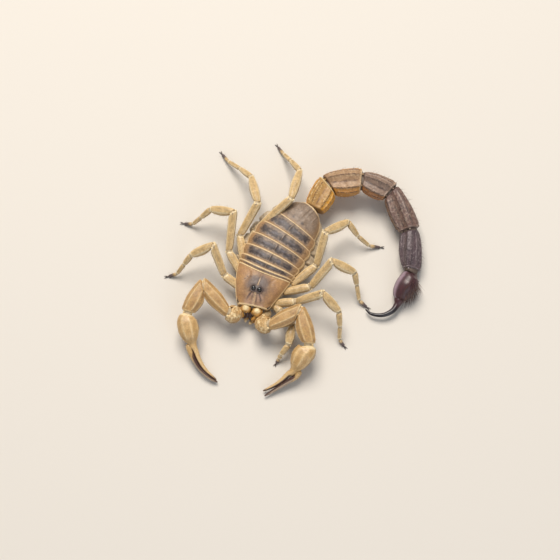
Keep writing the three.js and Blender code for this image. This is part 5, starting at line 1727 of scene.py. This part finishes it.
# %% The bristled tree: the bristle and its chart
cone = add(bristled, "GeometryNodeMeshCone",
           {"Vertices": 3, "Side Segments": 5, "Radius Top": 0.12, "Radius Bottom": 1.0, "Depth": 1.0},
           fill_type="NGON").outputs
spot = add(bristled, "GeometryNodeInputPosition")
up_it = add(bristled, "ShaderNodeSeparateXYZ", {0: spot}).outputs["Z"]
squared = add(bristled, "ShaderNodeMath", {0: up_it, 1: 2.0}, operation="POWER")
slump = add(bristled, "ShaderNodeMath", {0: squared, 1: 7.0}, operation="MULTIPLY")
bent_by = add(bristled, "ShaderNodeCombineXYZ", {0: slump})
patched = add(bristled, "GeometryNodeStoreNamedAttribute",
              {"Geometry": cone["Mesh"], "Name": "patch", "Value": cone["UV Map"]},
              data_type="FLOAT2", domain="CORNER")
bent = add(bristled, "GeometryNodeSetPosition", {"Geometry": patched, "Offset": bent_by})
longer = add(bristled, "FunctionNodeRandomValue", {2: 0.55, 3: 1.25, "Seed": given["Seed"]},
             data_type="FLOAT").outputs[1]
length = add(bristled, "ShaderNodeMath", {0: given["Length"], 1: longer}, operation="MULTIPLY")
stretch = add(bristled, "ShaderNodeCombineXYZ", {0: given["Radius"], 1: given["Radius"], 2: length})
bristles = add(bristled, "GeometryNodeInstanceOnPoints",
               {"Points": roots["Points"], "Instance": bent, "Rotation": turned, "Scale": stretch})
solid = add(bristled, "GeometryNodeRealizeInstances", {0: bristles})
small = add(bristled, "ShaderNodeVectorMath", {0: own_patch, "Scale": given["Patch"]}, operation="SCALE")
baked_place = add(bristled, "ShaderNodeVectorMath", {0: root_place, 1: small}, operation="ADD")
mapped = add(bristled, "GeometryNodeStoreNamedAttribute",
             {"Geometry": solid, "Name": "OFBake", "Value": baked_place},
             data_type="FLOAT2", domain="CORNER")
end_tree(bristled, mapped, given["Finish"])

# %% Bristles of the limbs, the tail and the bulb
BRISTLES = {  # spacing, length and radius in mm, lean, finish and slot
    "leg": (0.7, 0.85, 0.026, 0.6, pale_bristle, "straw_shell"),
    "arm": (1.1, 0.95, 0.026, 0.5, pale_bristle, "straw_shell"),
    "mouth": (0.35, 0.5, 0.02, 0.8, pale_bristle, "amber_shell"),
    "tail": (1.1, 1.3, 0.045, 0.4, dark_bristle, "tail_brown"),
    "bulb": (0.5, 2.5, 0.07, 0.75, dark_bristle, "telson_shell"),
}
for number, (ground, (spacing, length, radius, lean, finish, slot)) in enumerate(BRISTLES.items()):
    name = f"{ground}_bristles"
    coat = grown(name, mesh_of(name, grounds[ground]), bristled, **{
        "Spacing": spacing * MM, "Length": length * MM, "Radius": radius * MM, "Lean": lean,
        "Seed": 800 + number, "Finish": finish})
    for leftover in ("chart", "patch"):
        coat.data.attributes.remove(coat.data.attributes[leftover])
    settle(coat)
    print(name, [layer.name for layer in coat.data.uv_layers], made[-1][1], "triangles")

# %% [markdown]
# ## Last measurements
#
# The dressed model has to stay as large as its frame. Its pieces and triangles are counted.

# %% Sizes and the end
print("pieces:", len(made), "triangles:", sum(count for _, count in made))
print("most in one:", max(made, key=lambda row: row[1]))
